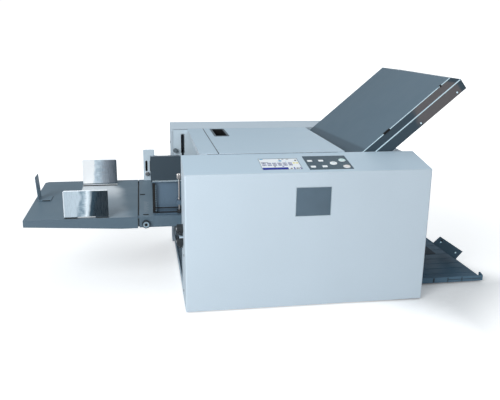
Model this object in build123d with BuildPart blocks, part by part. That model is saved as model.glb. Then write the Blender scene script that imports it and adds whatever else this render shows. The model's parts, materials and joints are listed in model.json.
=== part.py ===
"""Tabletop paper folding machine.

Millimetres. +X runs from the feed table to the delivery tray, +Y from the operator's side to the back, +Z up.
The origin is on the ground, near the middle of the whole machine.
"""
import os
from math import atan, cos, degrees, pi, sin

from build123d import *

# ---------------------------------------------------------------- driving dimensions
table_tip = 563.5             # how far the table's outer end reaches from the origin
tray_right = 557.0
half_depth = 267.5            # front face to back face is twice this
cabinet_left = -208.5
cabinet_right = 351.5
rear_left = -213.5            # the rear cabinet stands a little proud at the feed end
cabinet_bottom = 4.0
front_inner = -153.5          # inner face of the front cabinet and its frame
rear_inner = 222.5            # inner face of the rear cabinet and its frame
shelf_front_z = 318.0         # control shelf, along the front edge
shelf_back_z = 339.0
rear_top_z = 356.0            # back edge of the rear cabinet's sloping roof
cover_top_z = 341.5
cover_pivot = (172.0, 331.0)  # x and z of the top cover's hinge axis
skin = 2.0                    # cabinet sheet
frame_sheet = 3.0
sheet = 1.5                   # tables, guides, fold plates
paper_mid_y = 34.0            # centre line of the paper path

table_top = 196.0
table_front = -151.5
table_back = 219.5
table_seam = -307.5           # extension hinge line
seam_gap = 3.4                # between the table and its extension
hinge_z = 193.2
hinge_pin_r = 1.2
knuckle_r = 1.95
knuckle_width = 3.0
hinge_width = 15.0            # pin length, between the outer faces of its two knuckles
table_inner_end = -135.0
apron_bottom = 170.0
lift_travel = 50.0
lift_x = -179.5               # lift slots, pins and guide rods

roller_r = 18.0
roller_pitch = 36.4           # centre distance of neighbouring fold rollers
shaft_r = 4.0
bush_r = 8.0
pivot_stud_r = 3.0
slot_low = 186.0              # ends of the lift slots
slot_high = 325.0
running = 0.05                # radial running clearance
nip_x = 162.0
nip_z = 256.0
feed_r = 22.0
feed_centre = (-105.0, 277.0)
motor_centre = (270.0, 60.0)
motor_pulley_r = 9.0
driven_pulley_r = 16.0
feed_pulley_r = 12.0
gear_teeth = 28

slab_angle = 40.5             # upper fold plate, above the horizontal
slab_root = (206.5, 340.0)    # where its upper face leaves the cover plane
slab_front = -150.5
slab_back = 219.5
slab_length = 267.0           # upper face, along its back edge
slab_lower_length = 302.0
slab_back_rise = 3.0          # the upper face leans towards the operator
slab_front_drop = 14.0
slab_split = 34.0             # depth of the upper half
slab_depth = 62.0
slab_start = -28.0

lower_angle = 22.0            # lower fold plate, below the horizontal, towards the feed side
lower_start = (170.0, 206.0)
lower_length = 404.0
lower_half = 12.0

chute_angle = degrees(atan(2 / 3))
chute_end = (471.5, 68.0)
chute_front = -71.5
chute_back = 137.0
arm_face = -74.0              # outer face of the delivery arm's plate

# ---------------------------------------------------------------- worked out from them
shelf_tilt = atan((shelf_back_z - shelf_front_z) / (front_inner + half_depth))
shelf = Plane(
    origin=(0, -half_depth, shelf_front_z),
    x_dir=(1, 0, 0),
    z_dir=(0, -sin(shelf_tilt), cos(shelf_tilt)),
)
fold_centres = [
    (nip_x, nip_z + roller_pitch / 2),
    (nip_x, nip_z - roller_pitch / 2),
    (nip_x + roller_pitch, nip_z - roller_pitch / 2),
    (nip_x + roller_pitch, nip_z - 1.5 * roller_pitch),
]
slab_turn = slab_angle * pi / 180
slab_plane = Plane(
    origin=(slab_root[0], slab_back, slab_root[1]),
    x_dir=(cos(slab_turn), 0, sin(slab_turn)),
    z_dir=(0, -1, 0),
)
lower_turn = lower_angle * pi / 180
lower_plane = Plane(
    origin=(lower_start[0], slab_back, lower_start[1]),
    x_dir=(-cos(lower_turn), 0, -sin(lower_turn)),
    z_dir=(0, -1, 0),
)
chute_turn = chute_angle * pi / 180
arm_plane = Plane(
    origin=(chute_end[0], arm_face, chute_end[1]),
    x_dir=(cos(chute_turn), 0, -sin(chute_turn)),
    z_dir=(0, -1, 0),
)
os.makedirs("parts", exist_ok=True)


# ---------------------------------------------------------------- helpers
def save(builder, label):
    builder.part.label = label
    export_step(builder.part, f"parts/{label}.step")


def block(x0, x1, y0, y1, z0, z1, mode=Mode.ADD):
    """A box between two corners, in the part being built."""
    with Locations(((x0 + x1) / 2, (y0 + y1) / 2, (z0 + z1) / 2)):
        Box(x1 - x0, y1 - y0, z1 - z0, mode=mode)


def rod_y(x, z, y0, y1, radius, mode=Mode.ADD):
    """A round bar along Y."""
    with BuildSketch(Plane.XZ.offset(-y1)) as disc:
        with Locations((x, z)):
            Circle(radius)
    extrude(disc.sketch, amount=y1 - y0, mode=mode)


def rod_z(x, y, z0, z1, radius, mode=Mode.ADD):
    """A round bar along Z."""
    with BuildSketch(Plane.XY.offset(z0)) as disc:
        with Locations((x, y)):
            Circle(radius)
    extrude(disc.sketch, amount=z1 - z0, mode=mode)


def rod_x(y, z, x0, x1, radius, mode=Mode.ADD):
    """A round bar along X."""
    with BuildSketch(Plane.YZ.offset(x0)) as disc:
        with Locations((y, z)):
            Circle(radius)
    extrude(disc.sketch, amount=x1 - x0, mode=mode)


def shelf_v(distance):
    """Distance up the sloping shelf for a horizontal distance from the front face."""
    return distance / cos(shelf_tilt)


# ---------------------------------------------------------------- base, frames and feet
with BuildPart() as base_plate:
    block(-206, 349, -262, 262, 6, 8)
    block(-208.3, -206, front_inner + 2, rear_inner - 2, 6, 24)
save(base_plate, "base_plate")

with BuildPart() as rubber_feet:
    for foot_x in (-180, 323):
        for foot_y in (-235, 235):
            rod_z(foot_x, foot_y, 0, 6, 13)
    chamfer(rubber_feet.faces().sort_by(Axis.Z)[:4].edges(), 1.5)
save(rubber_feet, "rubber_feet")

shaft_points = [feed_centre] + fold_centres


def frame_plate(y0, top, holes, label):
    """A side frame with its round holes, its lift slot and the cover's pivot hole."""
    y1 = y0 + frame_sheet
    with BuildPart() as plate:
        block(-206.3, 349.3, y0, y1, 8, top)
        for hole in holes:
            rod_y(*hole, y0 - 1, y1 + 1, bush_r, Mode.SUBTRACT)
        rod_y(*cover_pivot, y0 - 1, y1 + 1, pivot_stud_r + running, Mode.SUBTRACT)
        with BuildSketch(Plane.XZ.offset(-y1 - 1)):
            with Locations((lift_x, (slot_low + slot_high) / 2)):
                SlotOverall(slot_high - slot_low, 6.6, rotation=90)
        extrude(amount=frame_sheet + 2, mode=Mode.SUBTRACT)
    save(plate, label)


frame_plate(front_inner - frame_sheet, 336, shaft_points, "front_frame")
frame_plate(rear_inner, 338.5, shaft_points + [motor_centre], "rear_frame")

with BuildPart() as tie_bars:
    for bar_x, bar_z in ((-190, 104), (320, 40), (60, 318)):
        rod_y(bar_x, bar_z, front_inner, rear_inner, 6)
    block(-204, -198, front_inner, rear_inner, 160, 167)
save(tie_bars, "tie_bars")

# ---------------------------------------------------------------- front cabinet
display_box = (-35.5, 53.5, 20, 82)       # x from, x to, distance back from the front face, from and to
panel_box = (69.5, 170.5, 15, 92)
badge_box = (35.5, 116.5, 218.5, 285)     # x from, x to, z from, z to


def badge_block(y0, y1, grow=0.0, mode=Mode.ADD):
    """The badge's outline on the front face, grown by a margin on every side."""
    x0, x1, z0, z1 = badge_box
    block(x0 - grow, x1 + grow, y0, y1, z0 - grow, z1 + grow, mode)


def shelf_rectangle(outline, grow=0.0):
    """A rectangle on the control shelf, grown by a margin on every side."""
    x0, x1, d0, d1 = outline
    v0 = shelf_v(d0)
    v1 = shelf_v(d1)
    with Locations(((x0 + x1) / 2, (v0 + v1) / 2)):
        Rectangle(x1 - x0 + 2 * grow, v1 - v0 + 2 * grow)


with BuildPart() as front_cabinet:
    with BuildSketch(Plane.YZ.offset(cabinet_left)):
        with BuildLine():
            Polyline(
                (-half_depth, cabinet_bottom),
                (-half_depth, shelf_front_z),
                (front_inner, shelf_back_z),
                (front_inner, cabinet_bottom),
                close=True,
            )
        make_face()
    extrude(amount=cabinet_right - cabinet_left)
    front_edges = front_cabinet.edges().filter_by(Axis.X).group_by(Axis.Y)[0].sort_by(Axis.Z)[-1:]
    side_edges = front_cabinet.edges().filter_by(Axis.Z).group_by(Axis.Y)[0]
    fillet(front_edges + side_edges, 3)
    with BuildSketch(Plane.YZ.offset(cabinet_left + skin)):
        with BuildLine():
            Polyline(
                (skin - half_depth, cabinet_bottom - 1),
                (skin - half_depth, shelf_front_z - skin),
                (front_inner, shelf_back_z - skin),
                (front_inner + 1, shelf_back_z - skin),
                (front_inner + 1, cabinet_bottom - 1),
                close=True,
            )
        make_face()
    extrude(amount=cabinet_right - cabinet_left - 2 * skin, mode=Mode.SUBTRACT)
    with BuildSketch(shelf):
        shelf_rectangle(display_box, 0.2)
        shelf_rectangle(panel_box, 0.2)
    extrude(amount=5, both=True, mode=Mode.SUBTRACT)
    badge_block(-half_depth - 1, -half_depth + 0.7, 0.1, Mode.SUBTRACT)
save(front_cabinet, "front_cabinet")

with BuildPart() as name_badge:
    badge_block(-half_depth, -half_depth + 0.6)
save(name_badge, "name_badge")

with BuildPart() as display_screen:
    with BuildSketch(shelf.offset(-5)):
        shelf_rectangle(display_box)
    extrude(amount=4.7)
save(display_screen, "display_screen")

# name, x, distance back from the front face, width, depth (a round key has no depth)
key_table = (
    ("key_up", 80.5, 63, 11, 8),
    ("key_plus", 106.5, 63, 11, 8),
    ("key_down", 80.5, 29.5, 11, 8),
    ("key_minus", 107.5, 30, 11, 8),
    ("key_test", 132.1, 47, 16.5, 0),
    ("key_start", 157.2, 64, 16.5, 0),
    ("key_stop", 157.5, 27, 16.5, 0),
)


def key_outline(key, grow):
    """The outline of one key on the shelf, grown all round."""
    name, x, distance, width, height = key
    with Locations((x, shelf_v(distance))):
        if height:
            RectangleRounded(width + 2 * grow, height + 2 * grow, 1.2 + max(grow, 0))
        else:
            Circle(width / 2 + grow)


with BuildPart() as control_panel:
    with BuildSketch(shelf.offset(-3)):
        shelf_rectangle(panel_box)
    extrude(amount=3.4)
    with BuildSketch(shelf.offset(-4)):
        for key in key_table:
            key_outline(key, 0.25)
    extrude(amount=6, mode=Mode.SUBTRACT)
save(control_panel, "control_panel")

for key in key_table:
    with BuildPart() as push_key:
        with BuildSketch(shelf.offset(-4.4)):
            key_outline(key, 1)
        extrude(amount=1.2)
        with BuildSketch(shelf.offset(-3.3)):
            key_outline(key, 0)
        extrude(amount=5)
        fillet(push_key.faces().sort_by(Axis.Z)[-1:].edges(), 0.5)
    save(push_key, key[0])

with BuildPart() as control_board:
    with BuildSketch(shelf.offset(-8)):
        with Locations((68, shelf_v(55))):
            Rectangle(216, 86)
    extrude(amount=1.6)
    with BuildSketch(shelf.offset(-14)):
        for chip_x in (-10, 40, 90):
            with Locations((chip_x, shelf_v(50))):
                Rectangle(26, 20)
    extrude(amount=6)
save(control_board, "control_board")

# ---------------------------------------------------------------- rear cabinet
inlet_window = (-60, 20, 50, 90)          # x from, x to, z from, z to

roof_slope = (rear_top_z - cover_top_z) / (half_depth - rear_inner)
cavity_back = half_depth - skin

with BuildPart() as rear_cabinet:
    with BuildSketch(Plane.YZ.offset(rear_left)):
        with BuildLine():
            Polyline(
                (half_depth, cabinet_bottom),
                (half_depth, rear_top_z),
                (rear_inner, cover_top_z),
                (rear_inner, cabinet_bottom),
                close=True,
            )
        make_face()
    extrude(amount=cabinet_right - rear_left)
    ridge = rear_cabinet.edges().filter_by(Axis.X).group_by(Axis.Y)[-1].sort_by(Axis.Z)[-1:]
    back_edges = rear_cabinet.edges().filter_by(Axis.Z).group_by(Axis.Y)[-1]
    fillet(ridge + back_edges, 3)
    with BuildSketch(Plane.YZ.offset(rear_left + skin)):
        with BuildLine():
            Polyline(
                (cavity_back, cabinet_bottom - 1),
                (cavity_back, rear_top_z - skin - skin * roof_slope),
                (rear_inner, cover_top_z - skin),
                (rear_inner - 1, cover_top_z - skin),
                (rear_inner - 1, cabinet_bottom - 1),
                close=True,
            )
        make_face()
    extrude(amount=cabinet_right - rear_left - 2 * skin, mode=Mode.SUBTRACT)
    block(rear_left, -207, rear_inner, rear_inner + skin, cabinet_bottom, cover_top_z - 1)
    window_left, window_right, window_low, window_high = inlet_window
    block(window_left, window_right, half_depth - 5, half_depth + 1, window_low, window_high, Mode.SUBTRACT)
    with BuildSketch(Plane.XZ.offset(-half_depth - 1)):
        for vent_x in (150, 260):
            with Locations((vent_x, 110)):
                with GridLocations(1, 9, 1, 8):
                    SlotOverall(80, 4)
    extrude(amount=5, mode=Mode.SUBTRACT)
save(rear_cabinet, "rear_cabinet")

power_z = 70.0                # middle of the mains inlet and of its rocker switch
inlet_x = -36.0
panel_y = 258.0
panel_sheet = 1.5
with BuildPart() as power_panel:
    block(-64, 24, panel_y, panel_y + panel_sheet, power_z - 24, power_z + 24)
    block(inlet_x - 14, inlet_x + 14, panel_y + panel_sheet, 264, power_z - 11, power_z + 11)
    block(inlet_x - 10, inlet_x + 10, 261, 265, power_z - 7, power_z + 7, Mode.SUBTRACT)
    for pin_x, pin_z in ((inlet_x - 5, power_z), (inlet_x + 5, power_z), (inlet_x, power_z + 3)):
        block(pin_x - 1, pin_x + 1, 261, 263.5, pin_z - 1, pin_z + 1)
    block(-7, 7, panel_y - 1, panel_y + 2, power_z - 11, power_z + 11, Mode.SUBTRACT)
save(power_panel, "power_panel")

with BuildPart() as power_switch:
    rod_x(257.5, power_z, -6, 6, 5)
    block(-6, 6, 256, 262, power_z - 9, power_z + 9)
    chamfer(power_switch.faces().sort_by(Axis.Y)[-1:].edges().filter_by(Axis.X), 1.5)
save(power_switch, "power_switch")

catch_y = -197.0
catch_heights = (178.0, 148.5)
catch_r = 10.5
catch_reach = 14.0            # how far the catches stand off the cabinet's feed end
with BuildPart() as cabinet_fasteners:
    for screw_y, screw_z in ((-224.5, 123), (-205.5, 30), (245, 60), (245, 300)):
        left_face = cabinet_left if screw_y < 0 else rear_left
        rod_x(screw_y, screw_z, left_face - 1.5, left_face, 3)
        rod_x(screw_y, screw_z, cabinet_right, cabinet_right + 1.5, 3)
    for catch_z in catch_heights:
        rod_x(catch_y, catch_z, cabinet_left - catch_reach - 2, cabinet_left, 2)
        rod_x(catch_y, catch_z, cabinet_left - catch_reach - 2, cabinet_left - catch_reach - 0.4, 3.2)
save(cabinet_fasteners, "cabinet_fasteners")

# ---------------------------------------------------------------- covers
with BuildPart() as top_deck:
    block(-165.5, -122.5, front_inner + 1, rear_inner - 1, cover_top_z - skin, cover_top_z)
    block(-165.5, -165.5 + skin, front_inner + 1, rear_inner - 1, 329, cover_top_z)
save(top_deck, "top_deck")

cover_left = -120.5
cover_right = 180.0
handle_box = (-103.5, -63.5, 82.5, 207.5)   # x from, x to, y from, y to


def handle_block(inset, z0, z1, mode=Mode.ADD):
    """The pull handle's outline, drawn in by a margin on every side."""
    x0, x1, y0, y1 = handle_box
    block(x0 + inset, x1 - inset, y0 + inset, y1 - inset, z0, z1, mode)


with BuildPart() as top_cover:
    block(cover_left, cover_right, front_inner + 1, rear_inner - 1, cover_top_z - skin, cover_top_z)
    block(cover_left, cover_left + skin, front_inner + 1, rear_inner - 1, cover_top_z - 10, cover_top_z)
    front_ear = (front_inner + 1, front_inner - frame_sheet)
    rear_ear = (rear_inner - 1 - skin, rear_inner - 1)
    for wall_y, stud_y in (front_ear, rear_ear):
        block(164, cover_right, wall_y, wall_y + skin, cover_pivot[1] - 5, cover_top_z)
        rod_y(*cover_pivot, stud_y, stud_y + frame_sheet + 1, pivot_stud_r)
    handle_block(3, cover_top_z - 5, cover_top_z + 1, Mode.SUBTRACT)
save(top_cover, "top_cover")

with BuildPart() as cover_handle:
    handle_block(0, cover_top_z, cover_top_z + 1)
    fillet(cover_handle.edges().filter_by(Axis.Z), 5)
    handle_block(3.2, cover_top_z - 18, cover_top_z)
    handle_block(5.2, cover_top_z - 16, cover_top_z + 2, Mode.SUBTRACT)
save(cover_handle, "cover_handle")

end_cover_top = 327.0
with BuildPart() as end_cover:
    block(349.5, cabinet_right, front_inner + 1, rear_inner - 1, 24, end_cover_top)
    block(318, cabinet_right, front_inner + 1, rear_inner - 1, end_cover_top - skin, end_cover_top)
    block(340, 360, -82, 148, 112, 178, Mode.SUBTRACT)
save(end_cover, "end_cover")

# ---------------------------------------------------------------- paper feed
with BuildPart() as infeed_guide:
    block(-132, -130, front_inner + 4, rear_inner - 4, 180, 252)
    block(-132, 138, front_inner + 4, rear_inner - 4, 250, 252)
    block(-121, -89, paper_mid_y - 66, paper_mid_y + 66, 240, 260, Mode.SUBTRACT)
save(infeed_guide, "infeed_guide")

with BuildPart() as separator_pad:
    block(-119, -91, paper_mid_y - 64, paper_mid_y + 64, 236, 254.4)
    chamfer(separator_pad.faces().sort_by(Axis.Z)[-1:].edges().filter_by(Axis.Y).sort_by(Axis.X)[:1], 4)
save(separator_pad, "separator_pad")

with BuildPart() as feed_roller:
    rod_y(*feed_centre, -160, 254, shaft_r)
    for tyre_y in (-46, 0, 46):
        rod_y(*feed_centre, paper_mid_y + tyre_y - 12, paper_mid_y + tyre_y + 12, feed_r)
    rod_y(*feed_centre, 243, 251, feed_pulley_r)
save(feed_roller, "feed_roller")

# ---------------------------------------------------------------- fold rollers, drive
gear_module = roller_pitch / gear_teeth
gear_pitch_r = roller_pitch / 2
tooth_step = 360 / gear_teeth


def gear(centre, phase):
    """A straight-flanked spur gear on a roller shaft, in the rear cabinet."""
    root = gear_pitch_r - 1.25 * gear_module
    tip = gear_pitch_r + 0.85 * gear_module
    with BuildSketch(Plane.XZ.offset(-241)) as teeth:
        with Locations(centre):
            Circle(root)
            with PolarLocations(0, gear_teeth, start_angle=phase):
                Polygon(
                    (root - 0.5, -1.15), (tip, -0.45), (tip, 0.45), (root - 0.5, 1.15), align=None
                )
    extrude(teeth.sketch, amount=12)


for number, centre in enumerate(fold_centres, start=1):
    with BuildPart() as fold_roller:
        has_pulley = number in (1, 3)
        rod_y(*centre, -160, 254 if has_pulley else 242, shaft_r)
        rod_y(*centre, -148, 217, roller_r)
        gear(centre, tooth_step / 2 if has_pulley else 0)
        if has_pulley:
            rod_y(*centre, 243, 251, feed_pulley_r if number == 1 else driven_pulley_r)
    save(fold_roller, f"fold_roller_{number}")

motor_r = 32.0
with BuildPart() as drive_motor:
    rod_y(*motor_centre, 128, 219, motor_r)
    rod_y(*motor_centre, 132, 215, motor_r - 4, Mode.SUBTRACT)
    rod_y(*motor_centre, 214, 220, shaft_r + running, Mode.SUBTRACT)
    block(motor_centre[0] - 34, motor_centre[0] + 34, 140, 205, 8, 30)
save(drive_motor, "drive_motor")

with BuildPart() as motor_rotor:
    rod_y(*motor_centre, 136, 254, shaft_r)
    rod_y(*motor_centre, 138, 208, motor_r - 8)
    rod_y(*motor_centre, 243, 251, motor_pulley_r)
save(motor_rotor, "motor_rotor")

with BuildPart() as drive_belts:
    for first, first_r, second, second_r in (
        (motor_centre, motor_pulley_r, fold_centres[2], driven_pulley_r),
        (feed_centre, feed_pulley_r, fold_centres[0], feed_pulley_r),
    ):
        with BuildSketch(Plane.XZ.offset(-250)):
            with Locations(first):
                Circle(first_r + 1.6)
            with Locations(second):
                Circle(second_r + 1.6)
            make_hull()
        extrude(amount=6)
        with BuildSketch(Plane.XZ.offset(-250)):
            with Locations(first):
                Circle(first_r + 0.1)
            with Locations(second):
                Circle(second_r + 0.1)
            make_hull()
        extrude(amount=6, mode=Mode.SUBTRACT)
save(drive_belts, "drive_belts")

with BuildPart() as roller_bushes:
    for centre in shaft_points:
        for bush_y in (front_inner - frame_sheet - 2, rear_inner - 1.5):
            rod_y(*centre, bush_y, bush_y + 6.5, bush_r)
            rod_y(*centre, bush_y - 1, bush_y + 8, shaft_r + running, Mode.SUBTRACT)
save(roller_bushes, "roller_bushes")

# ---------------------------------------------------------------- feed table
lift_pin_z = 190.5
front_rod_y = -176.0          # the lift's guide rods stand outside the side frames
rear_rod_y = 246.0
table_edge = table_seam + seam_gap / 2
extension_edge = table_seam - seam_gap / 2
hinge_starts = (table_front + 2, table_back - hinge_width - 2)
with BuildPart() as table_plate:
    block(table_edge, table_inner_end, table_front, table_back, table_top - sheet, table_top)
    for hinge_y in hinge_starts:
        rod_y(table_seam, hinge_z, hinge_y, hinge_y + hinge_width, hinge_pin_r)
        leaf_y = (hinge_y + knuckle_width + 1, hinge_y + hinge_width - knuckle_width - 1)
        block(table_seam, table_edge + 2, *leaf_y, hinge_z - hinge_pin_r, table_top - sheet)
    for apron_y in (table_front, table_back - sheet):
        block(table_edge, table_inner_end, apron_y, apron_y + sheet, apron_bottom, table_top)
        rod_y(lift_x, lift_pin_z, apron_y - 1, apron_y + sheet + 1, 3 + running, Mode.SUBTRACT)
    with BuildSketch(Plane.XY.offset(table_top - 5)):
        with Locations((-297, 50.5), (-290.5, -135.5)):
            SlotOverall(12, 3.5)
    extrude(amount=10, mode=Mode.SUBTRACT)
save(table_plate, "table_plate")

with BuildPart() as lift_carriage:
    block(lift_x - 12, lift_x + 12, table_front + 2, table_back - 2, 187, table_top - sheet)
    for slider_y, pin_from, pin_to in ((front_rod_y, -168, -149), (rear_rod_y, 217, 238)):
        rod_y(lift_x, lift_pin_z, pin_from, pin_to, 3)
        block(lift_x - 10, lift_x + 10, slider_y - 9, slider_y + 9, 180, 201)
        rod_z(lift_x, slider_y, 170, 210, shaft_r + running, Mode.SUBTRACT)
    for apron_y in (table_front, table_back):
        rod_y(lift_x, lift_pin_z, apron_y - 4, apron_y + 4, 3)
save(lift_carriage, "lift_carriage")

with BuildPart() as lift_guide_rods:
    rod_z(lift_x, front_rod_y, 8, 331, shaft_r)
    rod_z(lift_x, rear_rod_y, 8, 345, shaft_r)
save(lift_guide_rods, "lift_guide_rods")

guide_left = -273.5
guide_right = -153.5
front_guide_y = -122.5        # inner face of the front side guide
rear_guide_y = 182.5
table_gap = 0.4               # pieces that slide on the table ride this far above it
clamp_x = -212.5
clamp_y = front_guide_y - 15
clamp_rod_r = 2.0

with BuildPart() as front_guide:
    block(guide_left, guide_right, front_guide_y - sheet, front_guide_y, table_top + table_gap, 273)
    block(guide_left, guide_right, front_guide_y - 8, front_guide_y, 271.5, 273)
    block(guide_left, guide_left + 5, front_guide_y - 8, front_guide_y, table_top + 6, 273)
    foot_y = (front_guide_y - 18, front_guide_y)
    block(guide_left + 4, guide_right, *foot_y, table_top + table_gap, table_top + 3)
    block(clamp_x - 5.5, clamp_x + 5.5, clamp_y - 6, front_guide_y - 1, 220, 230)
    rod_z(clamp_x, clamp_y, 219, 231, clamp_rod_r + running, Mode.SUBTRACT)
save(front_guide, "front_guide")

with BuildPart() as guide_clamp:
    rod_z(clamp_x, clamp_y, table_top + 3.2, 293, clamp_rod_r)
    rod_z(clamp_x, clamp_y, 281, 293, 5)
    chamfer(guide_clamp.faces().sort_by(Axis.Z)[-1:].edges(), 0.8)
    rod_z(clamp_x, clamp_y, 232, 236, 3.5)
save(guide_clamp, "guide_clamp")

with BuildPart() as rear_guide:
    block(guide_left, guide_right, rear_guide_y, rear_guide_y + sheet, table_top + table_gap, 270)
    block(guide_left, guide_right, rear_guide_y, rear_guide_y + 12, 268.5, 270)
    block(guide_left + 4, guide_right, rear_guide_y, rear_guide_y + 16, table_top + table_gap, table_top + 3)
save(rear_guide, "rear_guide")

bracket_screw_at = (-282.0, 215.0)
bracket_screw_r = 2.0
with BuildPart() as guide_bracket:
    block(-292.5, -260.5, 211.5, 213.5, table_top, 285)
    block(-292.5, -260.5, 211.5, 218, table_top, table_top + 2)
    fillet(guide_bracket.edges().filter_by(Axis.Y).group_by(Axis.Z)[-1], 3)
    with BuildSketch(Plane.XZ.offset(-214)):
        with Locations((-283.9, 237.5)):
            SlotOverall(31, 6, rotation=90)
        with Locations((-273, 237.5)):
            SlotOverall(31, 3, rotation=90)
        with Locations(bracket_screw_at):
            Circle(bracket_screw_r + running)
    extrude(amount=4, mode=Mode.SUBTRACT)
save(guide_bracket, "guide_bracket")

with BuildPart() as bracket_thumbscrew:
    rod_y(*bracket_screw_at, 205, 211.3, 6)
    rod_y(*bracket_screw_at, 205, 216, bracket_screw_r)
    chamfer(bracket_thumbscrew.faces().sort_by(Axis.Y)[:1].edges(), 1)
save(bracket_thumbscrew, "bracket_thumbscrew")

apron_knob_at = (-290.5, 178.6)
with BuildPart() as apron_knob:
    rod_y(*apron_knob_at, -161, table_front - 0.2, 9.5)
    chamfer(apron_knob.faces().sort_by(Axis.Y)[:1].edges(), 1.5)
    rod_y(*apron_knob_at, -162, -158, 4, Mode.SUBTRACT)
save(apron_knob, "apron_knob")

# ---------------------------------------------------------------- table extension and its plates
extension_tip_z = 180.0
corner_cut = 9.0
taper_x = -346.5
with BuildPart() as table_extension:
    with BuildSketch(Plane.XZ.offset(-table_back)):
        with BuildLine():
            Polyline(
                (-table_tip, table_top),
                (extension_edge, table_top),
                (extension_edge, 168.5),
                (taper_x, 168.5),
                (-table_tip, extension_tip_z),
                close=True,
            )
        make_face()
    extrude(amount=table_back - table_front)
    chamfer(table_extension.edges().filter_by(Axis.Z).group_by(Axis.X)[0].sort_by(Axis.Y)[-1:], corner_cut)
    with BuildSketch(Plane.XY.offset(table_top - sheet)):
        with BuildLine():
            Polyline(
                (-table_tip + sheet, table_front + sheet),
                (table_seam, table_front + sheet),
                (table_seam, table_back - sheet),
                (-table_tip + sheet + corner_cut - 1, table_back - sheet),
                (-table_tip + sheet, table_back - sheet - corner_cut + 1),
                close=True,
            )
        make_face()
    extrude(amount=-40, mode=Mode.SUBTRACT)
    rod_z(-328.5, 172, 190, 200, 1.5, Mode.SUBTRACT)
    for hinge_y in hinge_starts:
        for near_y in (hinge_y, hinge_y + hinge_width - knuckle_width):
            far_y = near_y + knuckle_width
            rod_y(table_seam, hinge_z, near_y, far_y, knuckle_r)
            block(extension_edge - 3, extension_edge, near_y, far_y, hinge_z - 1, table_top - sheet)
            block(extension_edge - 1, table_seam, near_y, far_y, hinge_z - 1, hinge_z + 1)
        pin_end_y = hinge_y + hinge_width + 1
        rod_y(table_seam, hinge_z, hinge_y - 1, pin_end_y, hinge_pin_r + running, Mode.SUBTRACT)
save(table_extension, "table_extension")


def paper_plate(x0, x1, y0, top, foot_side, label):
    """A polished angle plate that stands on the extension and stops the paper's side."""
    with BuildPart() as plate:
        block(x0, x1, y0, y0 + 1, table_top + table_gap, top)
        fillet(plate.edges().filter_by(Axis.Y).group_by(Axis.Z)[-1], 4)
        foot_y = (y0 + 1, y0 + 15) if foot_side > 0 else (y0 - 14, y0)
        block(x0, x1, *foot_y, table_top + table_gap, table_top + table_gap + 1.2)
        middle = (x0 + x1) / 2
        block(middle - 20, middle + 20, y0 - 1, y0 + 2, table_top, table_top + 4.5, Mode.SUBTRACT)
    save(plate, label)


paper_plate(-473.5, -374.5, -149.5, 262, 1, "front_paper_plate")
paper_plate(-457.5, -365.5, 172.5, 267, -1, "rear_paper_plate")

end_stop_top = 257.0
end_stop_lean = 4.5           # the stop's face leans outwards at the top
with BuildPart() as end_stop:
    block(-553.5, -523.5, 11.5, 57.5, table_top + table_gap, table_top + 2)
    with BuildSketch(Plane.XZ.offset(-57.5)):
        with BuildLine():
            Polyline(
                (-553.5, table_top + table_gap),
                (-553.5 - end_stop_lean, end_stop_top),
                (-553.5 - end_stop_lean + sheet, end_stop_top),
                (-553.5 + sheet, table_top + table_gap),
                close=True,
            )
        make_face()
    extrude(amount=46)
    fillet(end_stop.edges().filter_by(Axis.X).group_by(Axis.Z)[-1], 4)
    rod_z(-531, 34.5, 190, 200, 2, Mode.SUBTRACT)
save(end_stop, "end_stop")

# ---------------------------------------------------------------- upper fold plate
slab_width = slab_back - slab_front
slab_section = Plane(
    origin=(slab_root[0], 0, slab_root[1]),
    x_dir=(0, 1, 0),
    z_dir=(cos(slab_turn), 0, sin(slab_turn)),
)
end_slope = (slab_lower_length - slab_length) / (slab_split + slab_back_rise)


def slab_outline(points):
    """A closed outline in the plane of the upper fold plate's side."""
    with BuildLine() as outline:
        Polyline(*points, close=True)
    make_face(outline.edges())


def slab_end(depth):
    """How far along the slanted end stands, at a depth below the root plane."""
    return slab_length + (depth + slab_back_rise) * end_slope


with BuildPart() as fold_plate_1_upper:
    with BuildSketch(slab_section.offset(slab_start)):
        slab_outline(
            (
                (slab_front, -slab_split),
                (slab_front, -slab_front_drop),
                (slab_back, slab_back_rise),
                (slab_back, -slab_split),
            )
        )
    extrude(amount=slab_lower_length - slab_start)
    with BuildSketch(slab_plane.offset(-1)):
        slab_outline(
            (
                (slab_end(-slab_back_rise - 5), slab_back_rise + 5),
                (slab_lower_length + 20, slab_back_rise + 5),
                (slab_lower_length + 20, -slab_split - 5),
                (slab_end(slab_split + 5), -slab_split - 5),
            )
        )
    extrude(amount=slab_width + 2, mode=Mode.SUBTRACT)
    square_end = slab_length - 4
    with BuildSketch(slab_section.offset(slab_start - 1)):
        slab_outline(
            (
                (slab_front + sheet, -slab_split - 1),
                (slab_front + sheet, -slab_front_drop - sheet),
                (slab_back - sheet, slab_back_rise - sheet),
                (slab_back - sheet, -slab_split - 1),
            )
        )
    extrude(amount=square_end - slab_start + 1, mode=Mode.SUBTRACT)
    with BuildSketch(slab_plane.offset(sheet)):
        slab_outline(
            (
                (square_end - 1, -slab_front_drop - sheet),
                (slab_end(slab_front_drop) - sheet, -slab_front_drop - sheet),
                (slab_end(slab_split) - sheet, -slab_split - 1),
                (square_end - 1, -slab_split - 1),
            )
        )
    extrude(amount=slab_width - 2 * sheet, mode=Mode.SUBTRACT)
save(fold_plate_1_upper, "fold_plate_1_upper")

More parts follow.
